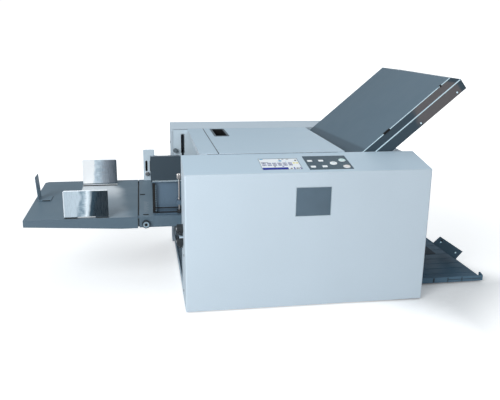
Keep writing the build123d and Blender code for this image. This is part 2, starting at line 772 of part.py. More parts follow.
with BuildPart() as fold_plate_1_lower:
    with BuildSketch(slab_plane):
        slab_outline(
            (
                (slab_start, -slab_split - 0.5),
                (slab_lower_length + 1, -slab_split - 0.5),
                (slab_lower_length, -slab_depth),
                (slab_start, -slab_depth),
            )
        )
    extrude(amount=slab_width)
    with BuildSketch(slab_plane.offset(sheet)):
        slab_outline(
            (
                (slab_start - 1, -slab_split - 0.5 - sheet),
                (slab_lower_length - sheet, -slab_split - 0.5 - sheet),
                (slab_lower_length - sheet, -slab_depth + sheet),
                (slab_start - 1, -slab_depth + sheet),
            )
        )
    extrude(amount=slab_width - 2 * sheet, mode=Mode.SUBTRACT)
save(fold_plate_1_lower, "fold_plate_1_lower")

with BuildPart() as fold_stop_1:
    with BuildSketch(slab_plane.offset(6)):
        with Locations((206, 6 - slab_split)):
            Rectangle(12, 11)
        with Locations((202, 10 - slab_split)):
            Rectangle(4, 14)
    extrude(amount=slab_width - 12)
save(fold_stop_1, "fold_stop_1")

# ---------------------------------------------------------------- lower fold plate
with BuildPart() as fold_plate_2:
    with BuildSketch(lower_plane):
        with Locations((lower_length / 2, 0)):
            Rectangle(lower_length, 2 * lower_half)
    extrude(amount=slab_width)
    with BuildSketch(lower_plane.offset(sheet)):
        with Locations((lower_length / 2 - sheet, 0)):
            Rectangle(lower_length, 2 * (lower_half - sheet))
    extrude(amount=slab_width - 2 * sheet, mode=Mode.SUBTRACT)
save(fold_plate_2, "fold_plate_2")

with BuildPart() as fold_stop_2:
    with BuildSketch(lower_plane.offset(6)):
        with Locations((230, 0)):
            Rectangle(12, 2 * (lower_half - sheet) - 1)
    extrude(amount=slab_width - 12)
save(fold_stop_2, "fold_stop_2")

# ---------------------------------------------------------------- catches on the cabinet's feed end
for label, catch_z in (("upper_catch", catch_heights[0]), ("lower_catch", catch_heights[1])):
    with BuildPart() as catch:
        rod_x(catch_y, catch_z, cabinet_left - catch_reach, cabinet_left - 0.3, catch_r)
        block(cabinet_left - 9, cabinet_left - 1.5, catch_y - 5, catch_y + 5, catch_z - 15, catch_z)
        fillet(catch.edges().filter_by(Axis.X).group_by(Axis.Z)[0], 2)
        rod_x(catch_y, catch_z, cabinet_left - catch_reach - 3, cabinet_left, 2 + running, Mode.SUBTRACT)
    save(catch, label)


# ---------------------------------------------------------------- delivery
arm_pivot = (14.0, 13.5)      # along and above the chute's end, as are the arm's other points
wheel_at = (69.0, 12.5)
arm_stud_r = 2.5
ear_y = chute_front + sheet

with BuildPart() as delivery_chute:
    with BuildSketch(Plane.XZ.offset(-chute_back)):
        with BuildLine():
            Polyline(
                (226, 207),
                (352, 147.7),
                (chute_end[0] + 13, chute_end[1] - 8.7),
            )
        trace(line_width=sheet)
    extrude(amount=chute_back - chute_front)
    with BuildSketch(arm_plane.offset(arm_face - ear_y)):
        with Locations((9.5, arm_pivot[1] / 2)):
            Rectangle(13, arm_pivot[1] + 0.5)
        with Locations(arm_pivot):
            Circle(6)
            Circle(arm_stud_r + running, mode=Mode.SUBTRACT)
    extrude(amount=sheet)
save(delivery_chute, "delivery_chute")

with BuildPart() as delivery_arm:
    with BuildSketch(arm_plane.offset(-sheet)):
        with BuildLine():
            Polyline((3, 25.5), (86.5, 26), (83, -2.5), (-3.5, -1), close=True)
        make_face()
        with Locations(wheel_at):
            Circle(arm_stud_r + running, mode=Mode.SUBTRACT)
    extrude(amount=sheet)
    with BuildSketch(arm_plane.offset(-7)):
        with Locations(arm_pivot):
            Circle(arm_stud_r)
    extrude(amount=7)
save(delivery_arm, "delivery_arm")

axle_length = 84.0
with BuildPart() as stacker_wheels:
    with BuildSketch(arm_plane.offset(1.5 - axle_length)):
        with Locations(wheel_at):
            Circle(arm_stud_r)
    extrude(amount=axle_length)
    for wheel_gap in (6, 34, 62):
        with BuildSketch(arm_plane.offset(-wheel_gap - 14)):
            with Locations(wheel_at):
                Circle(11)
        extrude(amount=14)
save(stacker_wheels, "stacker_wheels")

tray_left = 353.5
tray_front = -186.0
tray_back = 232.0
tray_floor = 9.0
tray_wall = 18.0              # top of the front and back walls
tray_fin = 21.5               # the walls' right ends rise to this
groove_pitch = 35.0
with BuildPart() as delivery_tray:
    block(tray_left, tray_right, tray_front, tray_back, 4, tray_wall)
    block(tray_left - 1, tray_right + 1, tray_front + sheet, tray_back - sheet, tray_floor, 30, Mode.SUBTRACT)
    for groove in range(11):
        groove_y = tray_front + 9 + groove_pitch * groove
        block(tray_left - 1, tray_right - 4, groove_y, groove_y + 3, 6.5, 30, Mode.SUBTRACT)
    for corner_y, inward in ((tray_front, 1), (tray_back, -1)):
        with BuildSketch(Plane.YZ.offset(tray_right - 4)):
            with BuildLine():
                Polyline(
                    (corner_y, 4),
                    (corner_y, tray_wall),
                    (corner_y + 15 * inward, tray_fin),
                    (corner_y + 15 * inward, 4),
                    close=True,
                )
            make_face()
        extrude(amount=4)
save(delivery_tray, "delivery_tray")
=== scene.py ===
"""Looks for the tabletop paper folding machine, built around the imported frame. Metres, row frame."""
import json
import math

import bmesh
import bpy
from mathutils import Matrix, Vector


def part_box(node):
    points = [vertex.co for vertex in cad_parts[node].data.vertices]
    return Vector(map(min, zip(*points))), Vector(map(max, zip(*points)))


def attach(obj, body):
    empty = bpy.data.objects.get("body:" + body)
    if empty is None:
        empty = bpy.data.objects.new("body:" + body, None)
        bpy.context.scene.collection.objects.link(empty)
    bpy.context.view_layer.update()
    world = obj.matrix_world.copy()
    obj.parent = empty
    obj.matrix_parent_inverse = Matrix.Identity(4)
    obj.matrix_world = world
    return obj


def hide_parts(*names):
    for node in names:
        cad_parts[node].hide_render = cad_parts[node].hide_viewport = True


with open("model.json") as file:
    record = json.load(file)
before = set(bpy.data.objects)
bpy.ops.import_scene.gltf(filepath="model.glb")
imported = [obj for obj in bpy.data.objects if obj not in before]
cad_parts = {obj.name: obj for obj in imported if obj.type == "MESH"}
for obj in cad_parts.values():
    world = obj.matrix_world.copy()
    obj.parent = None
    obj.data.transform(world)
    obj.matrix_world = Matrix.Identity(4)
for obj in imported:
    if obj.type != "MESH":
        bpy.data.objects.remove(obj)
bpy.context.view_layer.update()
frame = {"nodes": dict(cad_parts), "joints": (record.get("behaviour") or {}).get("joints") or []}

MM = 0.001
joints = {joint["name"]: joint for joint in frame["joints"]}


# ---- frames to build in
def local_frame(origin, x_axis, z_axis):
    """A matrix from local to row coordinates, with y square to x and z."""
    x = Vector(x_axis).normalized()
    z = Vector(z_axis).normalized()
    y = z.cross(x)
    return Matrix((
        (x.x, y.x, z.x, origin[0]),
        (x.y, y.y, z.y, origin[1]),
        (x.z, y.z, z.z, origin[2]),
        (0, 0, 0, 1),
    ))


def local_span(node, matrix, keep=lambda point: True):
    """Lowest and highest corners of a CAD node in a local frame, of the vertices that keep accepts."""
    inverse = matrix.inverted()
    points = [inverse @ vertex.co for vertex in frame["nodes"][node].data.vertices]
    points = [point for point in points if keep(point)]
    low = Vector([min(point[i] for point in points) for i in range(3)])
    high = Vector([max(point[i] for point in points) for i in range(3)])
    return low, high


world_axes = Matrix.Identity(4)
key_axis = Vector(joints["key_up_press"]["axis"])
shelf = local_frame((0, 0, 0), (1, 0, 0), -key_axis)
slab_axis = Vector(joints["upper_plate_lift_out"]["axis"])
slab = local_frame((0, 0, 0), slab_axis, (-slab_axis.z, 0, slab_axis.x))
facing_front = local_frame((0, 0, 0), (1, 0, 0), (0, -1, 0))      # local (x, z, -y)
facing_back = local_frame((0, 0, 0), (-1, 0, 0), (0, 1, 0))       # local (-x, z, y)
facing_right = local_frame((0, 0, 0), (0, 1, 0), (1, 0, 0))       # local (y, z, x)
arm_slope = math.atan(2 / 3)      # the delivery arm falls two in three
arm = local_frame((0, 0, 0), (math.cos(arm_slope), 0, -math.sin(arm_slope)), (0, -1, 0))


# ---- mesh helpers
def add_box(bm, low, high, bevel=0.0):
    """A box between two local corners, with its edges rounded."""
    low = Vector(low)
    high = Vector(high)
    made = bmesh.ops.create_cube(bm, size=1)
    size = high - low
    middle = (low + high) / 2
    for vertex in made["verts"]:
        vertex.co = Vector([middle[i] + vertex.co[i] * size[i] for i in range(3)])
    if bevel:
        edges = list({edge for vertex in made["verts"] for edge in vertex.link_edges})
        bmesh.ops.bevel(bm, geom=edges, offset=bevel, segments=2, affect="EDGES", clamp_overlap=True)


def add_prism(bm, outline, z0, z1):
    """A straight prism on a closed outline, given counter-clockwise in local x and y."""
    bottom = [bm.verts.new((x, y, z0)) for x, y in outline]
    top = [bm.verts.new((x, y, z1)) for x, y in outline]
    bm.faces.new(list(reversed(bottom)))
    bm.faces.new(top)
    for i in range(len(outline)):
        j = (i + 1) % len(outline)
        bm.faces.new((bottom[i], bottom[j], top[j], top[i]))


def add_lathe(bm, profile, centre, segments=48, ripple=0.0, ripples=0):
    """A body turned about local z through centre, from (radius, height) pairs, with optional flutes."""
    rings = []
    for radius, height in profile:
        if radius <= 0:
            rings.append([bm.verts.new((centre[0], centre[1], height))])
            continue
        ring = []
        for step in range(segments):
            angle = 2 * math.pi * step / segments
            flute = 1 - ripple * (0.5 + 0.5 * math.cos(ripples * angle)) if ripple else 1
            x = centre[0] + radius * flute * math.cos(angle)
            y = centre[1] + radius * flute * math.sin(angle)
            ring.append(bm.verts.new((x, y, height)))
        rings.append(ring)
    for lower, upper in zip(rings, rings[1:]):
        for step in range(segments):
            after = (step + 1) % segments
            if len(lower) == 1 and len(upper) > 1:
                bm.faces.new((lower[0], upper[after], upper[step]))
            elif len(upper) == 1 and len(lower) > 1:
                bm.faces.new((lower[step], lower[after], upper[0]))
            elif len(lower) > 1:
                bm.faces.new((lower[step], lower[after], upper[after], upper[step]))


def rounded_outline(x0, x1, y0, y1, radius, steps=5):
    """A rectangle with round corners, counter-clockwise."""
    points = []
    corners = (
        (x1 - radius, y1 - radius, 0),
        (x0 + radius, y1 - radius, 90),
        (x0 + radius, y0 + radius, 180),
        (x1 - radius, y0 + radius, 270),
    )
    for x, y, start in corners:
        for step in range(steps + 1):
            angle = math.radians(start + 90 * step / steps)
            points.append((x + radius * math.cos(angle), y + radius * math.sin(angle)))
    return points


def add_border(bm, x0, x1, y0, y1, width, z0, z1):
    """A thin rectangular frame, as four mitred bars."""
    outer = ((x0, y0), (x1, y0), (x1, y1), (x0, y1))
    left, right, bottom, top = x0 + width, x1 - width, y0 + width, y1 - width
    inner = ((left, bottom), (right, bottom), (right, top), (left, top))
    for i in range(4):
        j = (i + 1) % 4
        add_prism(bm, (outer[i], outer[j], inner[j], inner[i]), z0, z1)


def piece(name, bm, matrix, body, look, smooth=35):
    """Turns a bmesh into a piece that rides on a body."""
    bmesh.ops.recalc_face_normals(bm, faces=bm.faces)
    mesh = bpy.data.meshes.new(name)
    bm.to_mesh(mesh)
    bm.free()
    mesh.transform(matrix)
    made = bpy.data.objects.new(name, mesh)
    bpy.context.scene.collection.objects.link(made)
    mesh.materials.append(look.material)
    mesh.shade_smooth()
    mesh.set_sharp_from_angle(angle=math.radians(smooth))
    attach(made, body)
    return made


def boxes(name, body, look, spans, matrix=world_axes):
    """A piece of rounded boxes, from two opposite corners and an edge radius in millimetres each."""
    bm = bmesh.new()
    for low, high, radius in spans:
        add_box(bm, low, high, radius * MM)
    piece(name, bm, matrix, body, look)


def moved(point, x, y, z):
    """A point shifted by millimetres."""
    return (point[0] + x * MM, point[1] + y * MM, point[2] + z * MM)


# ---- material helpers
class Shader:
    """A small wrapper that adds nodes and links them by input name."""

    def __init__(self, name):
        self.material = bpy.data.materials.new(name)
        self.material.use_nodes = True
        self.tree = self.material.node_tree
        self.principled = self.tree.nodes["Principled BSDF"]
        self.coordinates = self.add("ShaderNodeTexCoord").outputs["Object"]

    def add(self, kind, inputs=None, **settings):
        """A shader node, with inputs given as values or as sockets to link."""
        made = self.tree.nodes.new(kind)
        for key, value in settings.items():
            setattr(made, key, value)
        for key, value in (inputs or {}).items():
            self.feed(made.inputs[key], value)
        return made

    def feed(self, socket, value):
        """Gives a socket a value, or a link where the value is a socket."""
        if isinstance(value, bpy.types.NodeSocket):
            self.tree.links.new(value, socket)
        else:
            socket.default_value = value

    def noise(self, scale, detail=3.0, stretch=(1, 1, 1), roughness=0.5, distortion=0.0):
        """A noise value, its pattern drawn out where stretch is small."""
        place = self.add("ShaderNodeMapping", {"Vector": self.coordinates, "Scale": stretch})
        inputs = {
            "Vector": place.outputs[0], "Scale": scale, "Detail": detail,
            "Roughness": roughness, "Distortion": distortion,
        }
        return self.add("ShaderNodeTexNoise", inputs).outputs["Fac"]

    def remap(self, value, low, high, to_low, to_high, smooth=False):
        """A value range mapped to another, clamped."""
        made = self.add("ShaderNodeMapRange", {"Value": value}, clamp=True)
        if smooth:
            made.interpolation_type = "SMOOTHSTEP"
        for key, number in (("From Min", low), ("From Max", high), ("To Min", to_low), ("To Max", to_high)):
            made.inputs[key].default_value = number
        return made.outputs[0]

    def spread(self, value, low, high):
        """A noise value stretched over a range."""
        return self.remap(value, 0.3, 0.7, low, high)

    def maths(self, operation, first, second=0.0):
        """The result of a maths node."""
        return self.add("ShaderNodeMath", {0: first, 1: second}, operation=operation).outputs[0]

    def plus(self, first, second):
        return self.maths("ADD", first, second)

    def minus(self, first, second):
        return self.maths("SUBTRACT", first, second)

    def times(self, first, second):
        return self.maths("MULTIPLY", first, second)

    def mix(self, share, first, second):
        """Blends two colours."""
        made = self.add("ShaderNodeMix", {0: share}, data_type="RGBA")
        self.feed(made.inputs[6], first)
        self.feed(made.inputs[7], second)
        return made.outputs[2]

    def ramp(self, value, stops):
        """A colour along a value, from (position, colour) pairs."""
        made = self.add("ShaderNodeValToRGB", {"Fac": value})
        elements = made.color_ramp.elements
        while len(elements) < len(stops):
            elements.new(0.5)
        for element, (place, colour) in zip(elements, stops):
            element.position = place
            element.color = colour
        return made.outputs["Color"]

    def position(self, axis):
        """One object coordinate, which is a row coordinate at rest."""
        split = self.add("ShaderNodeSeparateXYZ", {"Vector": self.coordinates})
        return split.outputs[axis]

    def normal_part(self, axis):
        """One component of the true surface normal."""
        geometry = self.add("ShaderNodeNewGeometry").outputs["True Normal"]
        return self.add("ShaderNodeSeparateXYZ", {"Vector": geometry}).outputs[axis]

    def base_colour(self):
        """The colour that is linked so far."""
        return self.principled.inputs["Base Color"].links[0].from_socket

    def edge_mask(self, radius):
        """A mask that is high on edges, where rounded and plain normals differ, and the rounded normal."""
        rounded = self.add("ShaderNodeBevel", {"Radius": radius}, samples=3).outputs[0]
        plain = self.add("ShaderNodeNewGeometry").outputs["Normal"]
        dot = self.add("ShaderNodeVectorMath", {0: rounded, 1: plain}, operation="DOT_PRODUCT")
        return self.remap(dot.outputs["Value"], 0.80, 0.995, 1.0, 0.0), rounded

    def bump(self, height, strength, distance, normal=None):
        """A normal bent by a height value."""
        inputs = {"Height": height, "Strength": strength, "Distance": distance}
        if normal is not None:
            inputs["Normal"] = normal
        return self.add("ShaderNodeBump", inputs).outputs[0]

    def set(self, **values):
        """Sets inputs of the principled shader, by short names."""
        names = {
            "colour": "Base Color", "rough": "Roughness", "metal": "Metallic", "normal": "Normal",
            "spec": "Specular IOR Level", "emission": "Emission Color", "glow": "Emission Strength",
            "aniso": "Anisotropic",
        }
        for key, value in values.items():
            self.feed(self.principled.inputs[names[key]], value)


def rgb(red, green, blue):
    """An 8-bit display colour as linear RGBA."""
    def linear(value):
        value = value / 255
        return value / 12.92 if value <= 0.04045 else ((value + 0.055) / 1.055) ** 2.4
    return (linear(red), linear(green), linear(blue), 1.0)


def scaled(colour, factor):
    """A colour made darker or lighter."""
    return (colour[0] * factor, colour[1] * factor, colour[2] * factor, 1.0)


def powder_coat(name, colour, rough=0.46, peel=0.10, wear=0.25, spec=0.4, drift=0.05):
    """Baked powder coat: soft cloudy colour, fine speckle, orange peel and paler worn edges."""
    s = Shader(name)
    cloud = s.noise(5.5, detail=2)
    speckle = s.noise(1500, detail=1)
    base = s.mix(s.spread(cloud, 0, 1), scaled(colour, 1 - drift), scaled(colour, 1 + drift))
    base = s.mix(s.remap(speckle, 0.35, 0.65, 0, 0.35), base, scaled(colour, 0.90))
    edge, rounded = s.edge_mask(0.5 * MM)
    scuffs = s.noise(260, detail=4, roughness=0.7)
    worn = s.times(edge, s.remap(scuffs, 0.42, 0.68, 0.15, 1))
    base = s.mix(s.times(worn, wear), base, rgb(226, 232, 236))
    grain = s.noise(620, detail=2)
    s.set(
        colour=base,
        rough=s.spread(s.noise(14, detail=3), rough - 0.04, rough + 0.05),
        spec=spec,
        normal=s.bump(grain, peel, 0.3 * MM, rounded),
    )
    return s


def sheet_metal(name, colour, rough=0.3, stretch=(1, 1, 0.03), streak=0.10):
    """Bare or plated steel, with fine rolling lines along the axis whose stretch is small."""
    s = Shader(name)
    lines = s.noise(900, detail=4, stretch=stretch, roughness=0.65)
    broad = s.noise(9, detail=3)
    base = s.mix(s.spread(lines, 0, 1), scaled(colour, 1 - streak), scaled(colour, 1 + streak))
    base = s.mix(s.remap(broad, 0.35, 0.7, 0, 0.25), base, scaled(colour, 0.82))
    rounded = s.edge_mask(0.3 * MM)[1]
    s.set(
        colour=base,
        metal=1.0,
        rough=s.spread(lines, rough - 0.06, rough + 0.09),
        normal=s.bump(lines, 0.12, 0.1 * MM, rounded),
        aniso=0.3,
    )
    return s


def moulded(name, colour, rough=0.5, grain_scale=800, grain=0.25, spec=0.45, wear=0.18):
    """Moulded plastic with a fine spark texture and faintly polished edges."""
    s = Shader(name)
    texture = s.noise(grain_scale, detail=2, roughness=0.6)
    cloud = s.noise(11, detail=3)
    base = s.mix(s.spread(cloud, 0, 1), scaled(colour, 0.90), scaled(colour, 1.12))
    edge, rounded = s.edge_mask(0.4 * MM)
    rub = s.times(edge, s.remap(s.noise(190, detail=4), 0.4, 0.7, 0.1, 1))
    base = s.mix(s.times(rub, wear), base, rgb(150, 160, 168))
    s.set(
        colour=base,
        rough=s.spread(texture, rough - 0.07, rough + 0.08),
        spec=spec,
        normal=s.bump(texture, grain, 0.15 * MM, rounded),
    )
    return s


def ground_rubber(name, colour, rough=0.75):
    """Ground rubber: matte, with a faint circumferential grind and dust."""
    s = Shader(name)
    grind = s.noise(420, detail=3, stretch=(1, 0.2, 1), roughness=0.7)
    dust = s.noise(45, detail=4, roughness=0.7)
    base = s.mix(s.remap(dust, 0.45, 0.75, 0, 0.35), colour, rgb(112, 112, 110))
    s.set(colour=base, rough=s.spread(grind, rough - 0.1, rough + 0.1), spec=0.25)
    s.set(normal=s.bump(grind, 0.35, 0.2 * MM))
    return s


def ink(name, colour, rough=0.5, glow=0.0):
    """Printed ink or a lit screen element, with a slight dot structure."""
    s = Shader(name)
    dots = s.noise(2600, detail=1)
    base = s.mix(s.remap(dots, 0.35, 0.65, 0, 1), scaled(colour, 0.93), scaled(colour, 1.04))
    s.set(colour=base, rough=rough, spec=0.3)
    if glow:
        s.set(emission=base, glow=glow)
    return s


# ---- the materials
def cabinet_coat():
    """Pale blue-grey powder coat, with a painted reflection of the room: level tops are mixed towards a
    cooler blue.
    """
    s = powder_coat("cabinet_powder_coat", (0.650, 0.745, 0.822, 1), rough=0.50, wear=0.18, drift=0.018)
    # painted reflection: faces that look up are tinted a cooler blue
    top = s.remap(s.normal_part("Z"), 0.95, 0.99, 0, 0.6)
    s.set(colour=s.mix(top, s.base_colour(), (0.600, 0.790, 0.930, 1)))
    return s


def tray_coat():
    """Dark blue-grey plastic, with a painted highlight on its front wall: faces that look to the front are
    mixed towards a paler blue-grey.
    """
    s = moulded("tray_plastic", rgb(66, 94, 113), rough=0.6, grain=0.2, spec=0.12, wear=0.1)
    # painted highlight on the faces that look to the front
    front = s.remap(s.normal_part("Y"), -0.95, -0.7, 1, 0)
    s.set(colour=s.mix(front, s.base_colour(), rgb(94, 121, 140)))
    return s


paint = cabinet_coat()
# a paler copy of the cabinet coat: on the rear frame it is painted light, so the wall in the shaded throat
# looks lit; on the guide bracket it is the bracket's own light grey
paint_end = powder_coat("throat_powder_coat", (0.74, 0.86, 0.94, 1), rough=0.45, wear=0.25, drift=0.03)
slate = powder_coat("slate_powder_coat", rgb(101, 121, 135), rough=0.44, peel=0.16, wear=0.55, drift=0.04)
guide_slate = powder_coat("guide_powder_coat", rgb(92, 113, 131), rough=0.36, peel=0.12, wear=0.6)
# a darker copy of the slate coat: painted shade, for the rear guide and the front frame, which stand in shade
shaded_slate = powder_coat("rear_guide_powder_coat", rgb(77, 91, 101), rough=0.5, peel=0.16, wear=0.4)
steel = sheet_metal("zinc_plated_steel", rgb(186, 196, 204), rough=0.34)
shaft = sheet_metal("ground_shaft_steel", rgb(196, 198, 202), rough=0.22, stretch=(1, 0.04, 1))
roller_metal = sheet_metal("knurled_roller_steel", rgb(150, 154, 160), rough=0.42, stretch=(1, 0.15, 1))
roller_rubber = ground_rubber("feed_rubber", rgb(52, 52, 54))
foot_rubber = ground_rubber("foot_rubber", rgb(34, 34, 35), rough=0.8)
belt_rubber = ground_rubber("belt_rubber", rgb(40, 40, 40), rough=0.7)
black_plastic = moulded("black_plastic", rgb(38, 43, 47), rough=0.42)
panel_plastic = moulded("panel_plastic", rgb(64, 89, 104), rough=0.45, grain=0.12, spec=0.3)
tray_plastic = tray_coat()
badge_plastic = moulded("badge_plastic", rgb(93, 112, 126), rough=0.35, grain=0.08, wear=0.4)
key_white = moulded("key_white", rgb(246, 250, 252), rough=0.42, grain=0.08)
# the keys glow faintly: painted light that keeps their white bright
key_white.set(emission=(1, 1, 1, 1), glow=0.14)
board = moulded("board_lacquer", rgb(24, 84, 52), rough=0.3, grain_scale=300)
motor_paint = moulded("motor_enamel", rgb(58, 60, 64), rough=0.4, grain_scale=500)
bronze = sheet_metal("sintered_bronze", rgb(164, 132, 84), rough=0.45, stretch=(1, 1, 1))
knob_steel = sheet_metal("knob_nickel", rgb(206, 202, 200), rough=0.28, stretch=(1, 1, 0.3))
silver_edge = sheet_metal("bare_edge", rgb(214, 230, 238), rough=0.25)
print_pale = ink("panel_print", rgb(140, 160, 172))
print_line = ink("tick_print", rgb(206, 206, 212))
# near black: the colour of black parts, and painted shade in holes and slots
void_black = moulded("black_and_painted_recess_shade", rgb(10, 11, 12), rough=0.7, grain_scale=400)
stop_slate = powder_coat("stop_powder_coat", rgb(108, 132, 148), rough=0.40, peel=0.14, wear=0.6, drift=0.04)
arm_plastic = moulded("arm_plastic", rgb(72, 98, 114), rough=0.5, grain=0.2, spec=0.3)
# pale steel that also glows: a painted highlight, for bright edges and screw heads
glowing_pale_steel = sheet_metal("pale_polished_steel_painted_glow", rgb(232, 246, 253), rough=0.40, streak=0.05)
glowing_pale_steel.set(metal=0.4, emission=rgb(150, 190, 205), glow=0.35)


def polished_plate(name, node, stops, lean, mottle, blotch_colour):
    """Polished stainless with painted reflections: soft bands of colour that lean with height, with buffing
    lines and blotches, a painted highlight on the rims and on faces that look up, painted shade on the foot's
    front and a faint glow.

    mottle is where across the plate the blotches are, how far they spread, and how strong they are.
    """
    s = Shader(name)
    low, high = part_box(node)
    fine = s.noise(520, detail=4, stretch=(1, 1, 0.12), roughness=0.7)
    wavy = s.noise(42, detail=3, stretch=(1, 1, 0.5), distortion=0.5)
    blotch = s.noise(85, detail=3, stretch=(0.7, 1, 1.6), roughness=0.6)
    across = s.remap(s.position("X"), low.x, high.x, 0, 1)
    height = s.remap(s.position("Z"), low.z, high.z, 0, 1)
    leaning = s.plus(across, s.spread(wavy, -0.035, 0.035))
    leaning = s.minus(leaning, s.times(height, lean))
    # painted reflection: bands of colour across the plate
    tone = s.ramp(leaning, stops)
    middle, spread, strength = mottle
    near = s.maths("ABSOLUTE", s.minus(leaning, middle))
    near = s.remap(near, 0.3 * spread, spread, 1, 0, smooth=True)
    spots = s.times(near, s.remap(blotch, 0.40, 0.62, 0, strength, smooth=True))
    tone = s.mix(spots, tone, blotch_colour)
    tone = s.mix(s.remap(fine, 0.35, 0.65, 0, 0.03), tone, rgb(196, 206, 214))
    # painted highlight along the left edge and the top
    rim = s.maths("MAXIMUM", s.remap(across, 0.0, 0.022, 1, 0), s.remap(height, 0.965, 0.985, 0, 1))
    tone = s.mix(rim, tone, rgb(240, 246, 250))
    # painted highlight: faces that look up are near white
    upward = s.remap(s.normal_part("Z"), 0.7, 0.9, 0, 1)
    tone = s.mix(upward, tone, rgb(246, 250, 252))
    # painted shade on the lowest few millimetres, the foot's front face
    foot = s.remap(s.position("Z"), low.z + 3.4 * MM, low.z + 3.8 * MM, 1, 0)
    foot = s.times(foot, s.minus(1.0, upward))
    tone = s.mix(foot, tone, rgb(58, 74, 84))
    # the plate glows faintly in its own colour: painted light
    s.set(
        colour=tone,
        metal=0.1,
        spec=0.25,
        rough=s.spread(fine, 0.22, 0.36),
        normal=s.bump(fine, 0.08, 0.1 * MM),
        emission=tone,
        glow=0.12,
    )
    return s


def slab_coat():
    """Slate powder coat, with its front flange painted darker as shade and a painted warm sheen in the
    flange's upper part.
    """
    s = powder_coat("fold_plate_powder_coat", rgb(103, 125, 140), rough=0.42, peel=0.16, wear=0.5, drift=0.03)
    base = s.base_colour()
    low, high = slab_low, slab_high
    facing = s.remap(s.normal_part("Y"), -0.95, -0.7, 1, 0)
    along = s.times(s.position("Z"), slab_axis.z)
    along = s.plus(along, s.times(s.position("X"), slab_axis.x))
    rise = s.times(s.position("Z"), slab_axis.x)
    rise = s.minus(rise, s.times(s.position("X"), slab_axis.z))
    # the painted sheen starts part of the way up and ends along the plate's slanted end
    start = low.x + 0.585 * (high.x - low.x)
    patch = s.plus(along, s.spread(s.noise(16, detail=2), -0.02, 0.02))
    share = s.remap(patch, start - 12 * MM, start + 12 * MM, 0, 1, smooth=True)
    above = s.maths("MAXIMUM", s.minus(rise, low.z), 0.0)
    to_end = s.plus(along, s.times(above, end_slope))
    fade = s.remap(to_end, high.x - 17 * MM, high.x - 9 * MM, 1, 0, smooth=True)
    # painted shade on the front flange, with the painted sheen mixed in
    side = s.mix(s.times(share, fade), rgb(64, 80, 91), rgb(108, 104, 105))
    # a soft shadow where the plate leaves the deck
    root = s.remap(s.position("Z"), root_z + 0.5 * MM, root_z + 5.5 * MM, 0.5, 0, smooth=True)
    base = s.mix(root, base, rgb(62, 78, 90))
    s.set(colour=s.mix(facing, base, side))
    return s


def table_coat():
    """Slate powder coat with aprons painted darker as shade and a painted pale sheen, the reflection that the
    polished plates throw on it.
    """
    s = powder_coat("table_powder_coat", rgb(108, 130, 145), rough=0.40, peel=0.16, wear=0.5, drift=0.03)
    base = s.base_colour()
    low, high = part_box("rear_paper_plate")
    slant = 0.146      # the painted sheen's right edge moves this far in x for each step in y
    across = s.minus(s.position("Y"), low.y)
    right = s.plus(s.position("X"), s.times(across, slant))
    right = s.plus(right, s.spread(s.noise(14, detail=2), -6 * MM, 6 * MM))
    inside = s.remap(right, high.x - 20 * MM, high.x + 14 * MM, 1, 0, smooth=True)
    left = s.remap(s.position("X"), low.x - 1 * MM, low.x + 2 * MM, 0, 1)
    close = s.remap(s.position("Y"), low.y - 170 * MM, low.y - 30 * MM, 0, 0.62, smooth=True)
    wide = s.remap(s.position("Y"), low.y - 300 * MM, low.y - 100 * MM, 0.16, 0.28)
    before = s.remap(s.position("Y"), low.y - 1 * MM, low.y + 1 * MM, 1, 0)
    level = s.remap(s.normal_part("Z"), 0.7, 0.95, 0, 1)
    strength = s.times(level, s.plus(close, wide))
    share = s.times(s.times(inside, left), strength)
    share = s.times(share, before)
    # painted reflection: a pale sheen from the polished plates
    base = s.mix(share, base, rgb(236, 242, 246))
    # painted shade: faces that look to the front are darker
    apron = s.remap(s.normal_part("Y"), -0.95, -0.7, 1, 0)
    s.set(colour=s.mix(apron, base, s.mix(0.55, base, rgb(66, 82, 94))))
    # the painted sheen also glows a little
    s.set(emission=rgb(236, 242, 246), glow=s.times(share, 0.10))
    return s


def handle_coat():
    """The sunk handle: a grey rim, a left wall painted lighter as lit, and a black well."""
    s = moulded("handle_plastic", rgb(14, 15, 17), rough=0.6, grain=0.2)
    base = s.base_colour()
    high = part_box("cover_handle")[1]
    # painted light: faces that look to the right are mixed towards grey
    wall = s.remap(s.normal_part("X"), 0.6, 0.9, 0, 0.3)
    rim = s.remap(s.position("Z"), high.z - 1.2 * MM, high.z - 0.8 * MM, 0, 1)
    s.set(colour=s.mix(s.maths("MAXIMUM", wall, rim), base, rgb(104, 116, 124)))
    return s


# painted reflections: colour bands across each polished plate, from its left edge to its right
front_plate_reflection_bands = (
    (0.00, rgb(174, 188, 198)), (0.26, rgb(180, 194, 204)), (0.34, rgb(134, 152, 165)),
    (0.41, rgb(172, 188, 199)), (0.46, rgb(220, 229, 235)), (0.51, rgb(198, 210, 218)),
    (0.58, rgb(36, 60, 74)), (0.70, rgb(14, 33, 44)), (1.00, rgb(10, 26, 35)),
)
rear_plate_reflection_bands = (
    (0.00, rgb(255, 255, 255)), (0.30, rgb(255, 255, 255)), (0.34, rgb(206, 219, 228)),
    (0.48, rgb(196, 209, 218)), (0.60, rgb(148, 156, 165)), (0.82, rgb(104, 112, 121)),
    (1.00, rgb(52, 64, 72)),
)
front_plate_steel = polished_plate(
    "front_plate_polish", "front_paper_plate", front_plate_reflection_bands,
    lean=0.09, mottle=(0.37, 0.11, 0.75), blotch_colour=rgb(104, 126, 141),
)
rear_plate_steel = polished_plate(
    "rear_plate_polish", "rear_paper_plate", rear_plate_reflection_bands,
    lean=0.03, mottle=(0.50, 0.26, 0.55), blotch_colour=rgb(150, 168, 182),
)

